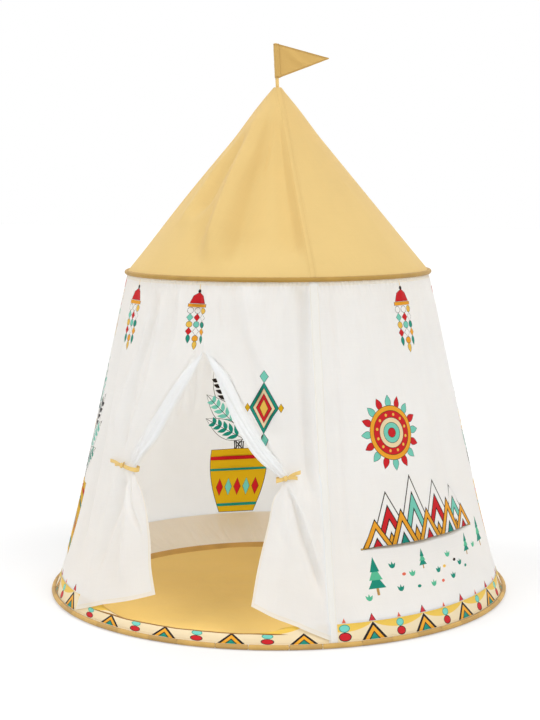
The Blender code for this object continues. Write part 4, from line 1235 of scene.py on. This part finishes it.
def border_shapes(first, last, unit, first_oval, scale, height):
    """Swags along the top, nested triangles between pairs of ovals."""
    shapes = []
    spots = border_spots(first, last, unit, first_oval)
    reach = unit / 2 * scale

    def at(angle):
        return ((angle + 180) % 360) * scale

    drape = [(k / 12, 0.46 * height * math.sin(math.pi * k / 12) ** 0.7) for k in range(13)]
    for centre in (at(spot) for spot, is_oval in spots if is_oval):
        shapes.append(([(centre - reach + 2 * reach * t, height - deep) for t, deep in drape], "mustard"))
    for spot, is_oval in spots:
        x = at(spot)
        size = height * (0.62 if -30 < spot < 34 else 1.0)  # the sill shows only the band's lower part
        if is_oval:
            wide = 1.3 if -34 < spot < 40 else 1.0
            for middle, half, tall, colour in (
                (0.27, 0.0116, 0.250, "black"), (0.27, 0.0099, 0.205, "red"),
                (0.74, 0.0100, 0.220, "teal"), (0.74, 0.0086, 0.180, "turquoise"),
            ):
                shapes.append((oval(x, middle * size, half * wide, tall * size, 24), colour))
        else:
            for half, tall, colour in (
                (0.0312, 0.99, "black"), (0.0238, 0.78, "amber"),
                (0.0140, 0.47, "black"), (0.0112, 0.38, "teal"),
            ):
                shapes.append(([(x - half, 0.02 * size), (x + half, 0.02 * size), (x, tall * size)], colour))
    return shapes


def build_strips(tape, sleeve_cloth):
    """The cream strip over each seam and the sleeve behind it that holds the pole."""
    for k in range(POLES):
        bearing = FIRST_POLE + k * PITCH

        def strip(u, v, bearing=bearing):
            z = STRIP_BOTTOM + v * (WALL_TOP - STRIP_BOTTOM)
            x = (2 * u - 1) * STRIP_HALF
            radius = wall_radius(z)
            wave = 0.0006 * ripple(z / 0.09 + 3 * bearing, 20)
            out = STRIP_EDGE + (STRIP_PROUD - STRIP_EDGE) * (1 - (2 * u - 1) ** 2)
            return polar(radius + out, bearing + np.degrees((x + wave) / radius), z)

        def sleeve(u, v, bearing=bearing):
            z = SLEEVE_BOTTOM + v * (WALL_TOP - SLEEVE_BOTTOM)
            turn = np.radians(20 - SLEEVE_TURN * u)
            size = SLEEVE_R + 0.0004 * ripple(z / 0.05 + bearing, 21)
            radius = wall_radius(z) - pole_inset(z) + size * np.sin(turn)
            return polar(radius, bearing - np.degrees(size * np.cos(turn) / radius), z)

        cover = grid_sheet(f"pole_strip_{k + 1}", strip, 10, 120, tape, "lr")
        back = grid_sheet(f"pole_sleeve_{k + 1}", sleeve, 14, 90, sleeve_cloth)
        tall = (WALL_TOP - STRIP_BOTTOM) * CLOTH_PER_HEIGHT
        held = {"held": "stretched", "rests_on": [f"wall_pole_{k + 1}"]}
        dress(cover, "cream_tape", f"pole_pocket_{k + 1}", flat=(2 * STRIP_HALF, tall), **held)
        dress(back, "cream_tape", flat=(math.radians(SLEEVE_TURN) * SLEEVE_R, tall), **held)


def build_ties(ribbon):
    """A ribbon round each gathered curtain, knotted, with two loose ends."""
    for side, name, free_points, knot_at, slope, ends in (
        (-1, "left", LEFT_FREE, 0.043, 0.12, ((0.102, 0.002), (0.078, -0.004))),
        (1, "right", RIGHT_FREE, 0.018, 0.28, ((0.050, 0.012), (0.043, -0.001))),
    ):
        free = float(smooth_curve(free_points, np.array(TIE_Z)))

        def spot(along, out, dz):
            z = TIE_Z + dz
            r = wall_radius(z) + out
            return polar(r, side * (free + np.degrees(along / r)), z)

        half = knot_at / 2 + 0.0035

        def band(u, v):
            turn = np.radians(-150 + 330 * u)
            along = half - 0.0030 - half * np.cos(turn) * (1 + 0.25 * np.abs(np.sin(turn)))
            out = TIE_REACH * np.sin(turn)
            width = 0.0044 * (1 + 0.25 * np.cos(turn) ** 2)
            crumple = 0.0005 * ripple(u * 9 + 2 * v, 31)
            tilt = slope * (knot_at - along)
            return spot(along, out + crumple, (2 * v - 1) * width - tilt)

        def knot(u, v):
            turn, rise = math.tau * u, math.pi * (v - 0.5)
            bulge = np.cos(rise) ** 0.7
            creases = 1 + 0.10 * np.cos(3 * turn + 4 * v)
            return spot(knot_at + 0.0045 * np.cos(turn) * bulge * creases,
                        TIE_REACH + 0.0012 + 0.0036 * np.sin(turn) * bulge, 0.0062 * np.sin(rise))

        pieces = [grid_sheet(f"{name}_ribbon", band, 40, 6, ribbon, "bt"),
                  grid_sheet(f"{name}_ribbon_knot", knot, 20, 12, ribbon, closed=True)]
        for number, (far, drop) in enumerate(ends):

            def end(u, v, far=far, drop=drop):
                along = knot_at + 0.002 + (far - knot_at) * u
                sag = drop * u + 0.002 * np.sin(math.pi * u)
                twist = 0.35 * np.sin(2.2 * u + drop * 60)
                width = 0.0030 + 0.0014 * smooth_step(0.0, 0.4, u)
                return spot(along, TIE_REACH + 0.0008 - 0.0065 * u + (2 * v - 1) * width * twist,
                            sag + (2 * v - 1) * width)

            pieces.append(grid_sheet(f"{name}_ribbon_end_{number + 1}", end, 16, 4, ribbon, "bt"))
        for piece in pieces[1:]:
            dress(piece, "gold_ribbon")
        dress(pieces[0], "gold_ribbon", f"{name}_tie", flat=(0.035 + 4 * half, RIBBON_WIDTH), held="folded",
              rests_on=[f"{name}_curtain_cloth"], with_pieces=pieces[1:])


def build_facing(cloth):
    """The wall's foot, turned in over the ground sheet as far as the mat."""
    first, last = FACING_ANGLES
    bend_radius, bend_height = FACING_BEND

    def facing(u, v):
        angle = last + u * (first - last)
        turn = np.radians(angle)
        ahead, aside = MAT_FORWARD * np.cos(turn), MAT_FORWARD * np.sin(turn)
        mat_edge = ahead + np.sqrt(MAT_R**2 - aside**2) - FACING_LAP
        ripples = 0.0022 * ripple(angle / 4.0, 81) + 0.0014 * ripple(angle / 1.7 + 2 * v, 82)
        top = FACING_TOP + FACING_RISE * smooth_step(*FACING_RISES, angle) * smooth_step(*FACING_SINKS, angle)
        from_wall, between, from_mat = (1 - v) ** 2, 2 * v * (1 - v), v**2
        radius = from_wall * (wall_radius(top) - 0.0030) + between * bend_radius + from_mat * mat_edge
        z = from_wall * top + between * bend_height + from_mat * 0.0020
        return polar(radius, angle, np.maximum(z + np.sin(math.pi * v) * ripples, 0.0016))

    piece = grid_sheet("wall_turn_in_cloth", facing, 700, 16, cloth)
    wide = math.radians(last - first) * FACING_MIDDLE
    dress(piece, "white_cotton", flat=(wide, FACING_DEPTH), held="laid",
          area=wide * FACING_DEPTH * FACING_SHARE, rests_on=["ground_sheet_cloth"])


def build_floor(ground, canvas, binding):
    def ground_sheet(u, v):
        r = SHEET_R * v
        creases = 0.0006 * ripple(r * 9 + 2 * np.cos(np.radians(360 * u)), 51) * smooth_step(0.0, 0.2, v)
        return polar(r, 360 * u, 0.0008 + creases * 0.5)

    rings = np.linspace(1, DISC_MIDDLE, 50)
    sheet = grid_sheet("ground_sheet_cloth", ground_sheet, 120, rings, ground, closed=True)

    def mat_height(x, y, away):
        """Shallow creases across the mat, flat at its bound edge, which turns up at the back."""
        soft = smooth_step(0.0, 0.06, away)
        long_crease = ripple((x * 0.8 + y * 0.55) / 0.16, 61) + 0.6 * ripple((x * 0.3 - y) / 0.10, 62)
        return MAT_Z + soft * (0.0012 + 0.0011 * long_crease) + mat_rise(y, away)

    def mat_rise(y, away):
        return MAT_RISE * smooth_step(-0.15, 0.10, y) * smooth_step(MAT_BINDING, 0.0, away)

    def on_mat(r, angle, z=0.0):
        return polar(r, angle, z) - np.array([0.0, MAT_FORWARD, 0.0])

    def mat(u, v):
        r = (MAT_R - MAT_BINDING / 2) * v
        flat = on_mat(r, 360 * u)
        flat[..., 2] = mat_height(flat[..., 0], flat[..., 1], MAT_R - r)
        return flat

    def bound_edge(u, v):
        turn = np.radians(-60 + 240 * v)
        r = MAT_R - MAT_BINDING / 2 * (1 - np.cos(turn))
        wrinkle = 0.0003 * ripple(u * 90, 63)
        edge = on_mat(r, 360 * u, MAT_Z + (0.0016 + wrinkle) * np.sin(turn))
        edge[..., 2] += mat_rise(edge[..., 1], MAT_R - r)
        return edge

    top = grid_sheet("floor_mat_cloth", mat, 140, np.linspace(1, DISC_MIDDLE, 60), canvas, closed=True)
    edge = grid_sheet("floor_mat_binding", bound_edge, 240, 10, binding, closed=True)
    disc = math.pi / 4
    dress(sheet, "ground_cloth", "ground_sheet", flat=(2 * SHEET_R, 2 * SHEET_R), held="laid",
          area=(2 * SHEET_R) ** 2 * disc)
    dress(top, "gold_mat", "floor_mat", flat=(2 * MAT_R, 2 * MAT_R), held="laid",
          area=(2 * MAT_R) ** 2 * disc * MAT_SHARE, rests_on=["ground_sheet_cloth"])
    dress(edge, "gold_mat", flat=(math.tau * MAT_R, BINDING_WIDTH), held="folded",
          rests_on=["floor_mat_cloth"])


def flag_axes():
    bearing, lean = math.radians(FLAG_BEARING), math.radians(FLAGPOLE_LEAN)
    across = np.array([math.cos(bearing), math.sin(bearing), 0.0])
    up = np.array([0.0, 0.0, 1.0])
    axis = up * math.cos(lean) - across * math.sin(lean)
    return up * POLE_PIVOT_Z, axis, across * math.cos(lean) + up * math.sin(lean)


def build_flag(cloth):
    """A pennant: its sleeve wraps the pole and closes on the plate, whose edges are hemmed."""
    pivot, axis, out = flag_axes()
    side = np.cross(axis, out)
    bottom, top = FLAG_SPAN
    middle, half = (bottom + top) / 2, (top - bottom) / 2

    def outline(along, reach, off):
        return pivot + axis * along[..., None] + out * reach[..., None] + side * off[..., None]

    def plate(u, v):
        tall = half * (1 - u) + FLAG_POINT * u
        along = middle + tall * (2 * v - 1)
        crease = 0.0030 * np.exp(-(((u - 0.16 - 0.42 * (1 - v)) / 0.10) ** 2)) * np.sin(math.pi * v)
        wave = 0.0040 * np.sin(math.pi * u) * np.sin(math.pi * (u - 0.4 * v)) * u
        reach = FLAG_START + u * (FLAG_LENGTH - FLAG_START)
        return outline(along, reach, wave - crease * smooth_step(0.0, 0.1, u))

    def sleeve(u, v):
        turn = np.radians(25 + 310 * u)
        size = FLAG_SLEEVE_R * (1 + 0.05 * ripple(v * 5, 71))
        pinch = 0.0035 * np.exp(-((np.minimum(u, 1 - u)) / 0.10) ** 2)
        along = bottom + v * (top - bottom)
        return outline(along, size * np.cos(turn) + pinch, size * np.sin(turn) * (1 - 120 * pinch))

    pennant = grid_sheet("flag_cloth", plate, 60, 36, cloth, "bt")
    wrap = grid_sheet("flag_sleeve_cloth", sleeve, 28, 30, cloth, "bt")
    dress(pennant, "gold_cotton", "flag", body="flag_body", flat=(FLAG_LENGTH, top - bottom), held="hung",
          area=FLAG_LENGTH * (top - bottom) * 0.5, rests_on=["flagpole"])
    dress(wrap, "gold_cotton", body="flag_body", flat=(math.tau * FLAG_SLEEVE_R, top - bottom), held="folded",
          rests_on=["flagpole"])


def finish_nodes():
    """Better materials for the rigid parts, whose shapes are the model's own."""
    looks = {
        "glass_fibre": hard("glass_fibre_rod", srgb(232, 232, 224), 0.30, (1, 1, 0.06), 900.0, 0.0001,
                            0.94, 0.3),
        "moulded_joint": hard("moulded_plastic", srgb(238, 236, 230), 0.42, (1, 1, 1), 700.0, 0.0001, 0.96),
        "flagpole_wood": hard("flagpole_wood_lacquer", srgb(226, 188, 112), 0.50, (1, 1, 0.05), 500.0, 0.0002,
                              0.86, 0.1),
    }
    slots = {s["node"]: s["material_slot"] for s in frame["record"]["subparts"]}
    for node, obj in frame["nodes"].items():
        if slots.get(node) in looks:
            for holder in obj.material_slots:
                holder.material = looks[slots[node]]


def main():
    build_camera()
    build_stage()
    white = cotton("white_cotton", clear=0.48, hem=0.0085, hem_tint=srgb(246, 238, 214), gather=True)
    # painted light: the turned-in foot is the wall's own cloth, given a warmer, brighter white than the
    # wall's to paint in the mat's warm bounced light and lift it out of its shade
    facing = cotton("turned_cotton_painted_warm", srgb(255, 246, 232), clear=0.0, wrinkle=0.5)
    gold = cotton("gold_cotton", GOLD, clear=0.40, hem=0.0055, wrinkle=0.18)
    flag = cotton("flag_cotton", srgb(206, 168, 97), clear=0.10, hem=0.0022, hem_tint=srgb(140, 98, 40),
                  wrinkle=0.18)
    border = cotton("border_print", clear=0.15, hem=0.0030)
    strip = cotton("cream_tape", CREAM, 0.0011, 0.20, hem=0.0022)
    sleeve = cotton("cream_sleeve", CREAM, 0.0011, 0.25)
    tape = bias_tape("gold_piping")
    ribbon = cotton("gold_ribbon", srgb(230, 196, 120), 0.0007, 0.15, hem=0.0009)
    ground = cotton("ground_cloth", srgb(240, 236, 228), clear=0.0, wrinkle=0.5)
    canvas = cotton("gold_mat", srgb(250, 210, 116), 0.0012, 0.0, wrinkle=0.35)
    # the binding's gold is darker than the mat's: partly the tape's own colour, partly painted shade for the
    # dark band along the mat's back edge by the wall
    binding = bias_tape("gold_mat_binding", srgb(220, 172, 92))
    build_roof(gold)
    build_walls(white)
    build_curtains(white)
    build_rims(tape)
    build_border(border)
    build_strips(strip, sleeve)
    build_ties(ribbon)
    build_floor(ground, canvas, binding)
    build_facing(facing)
    build_flag(flag)
    finish_nodes()


main()
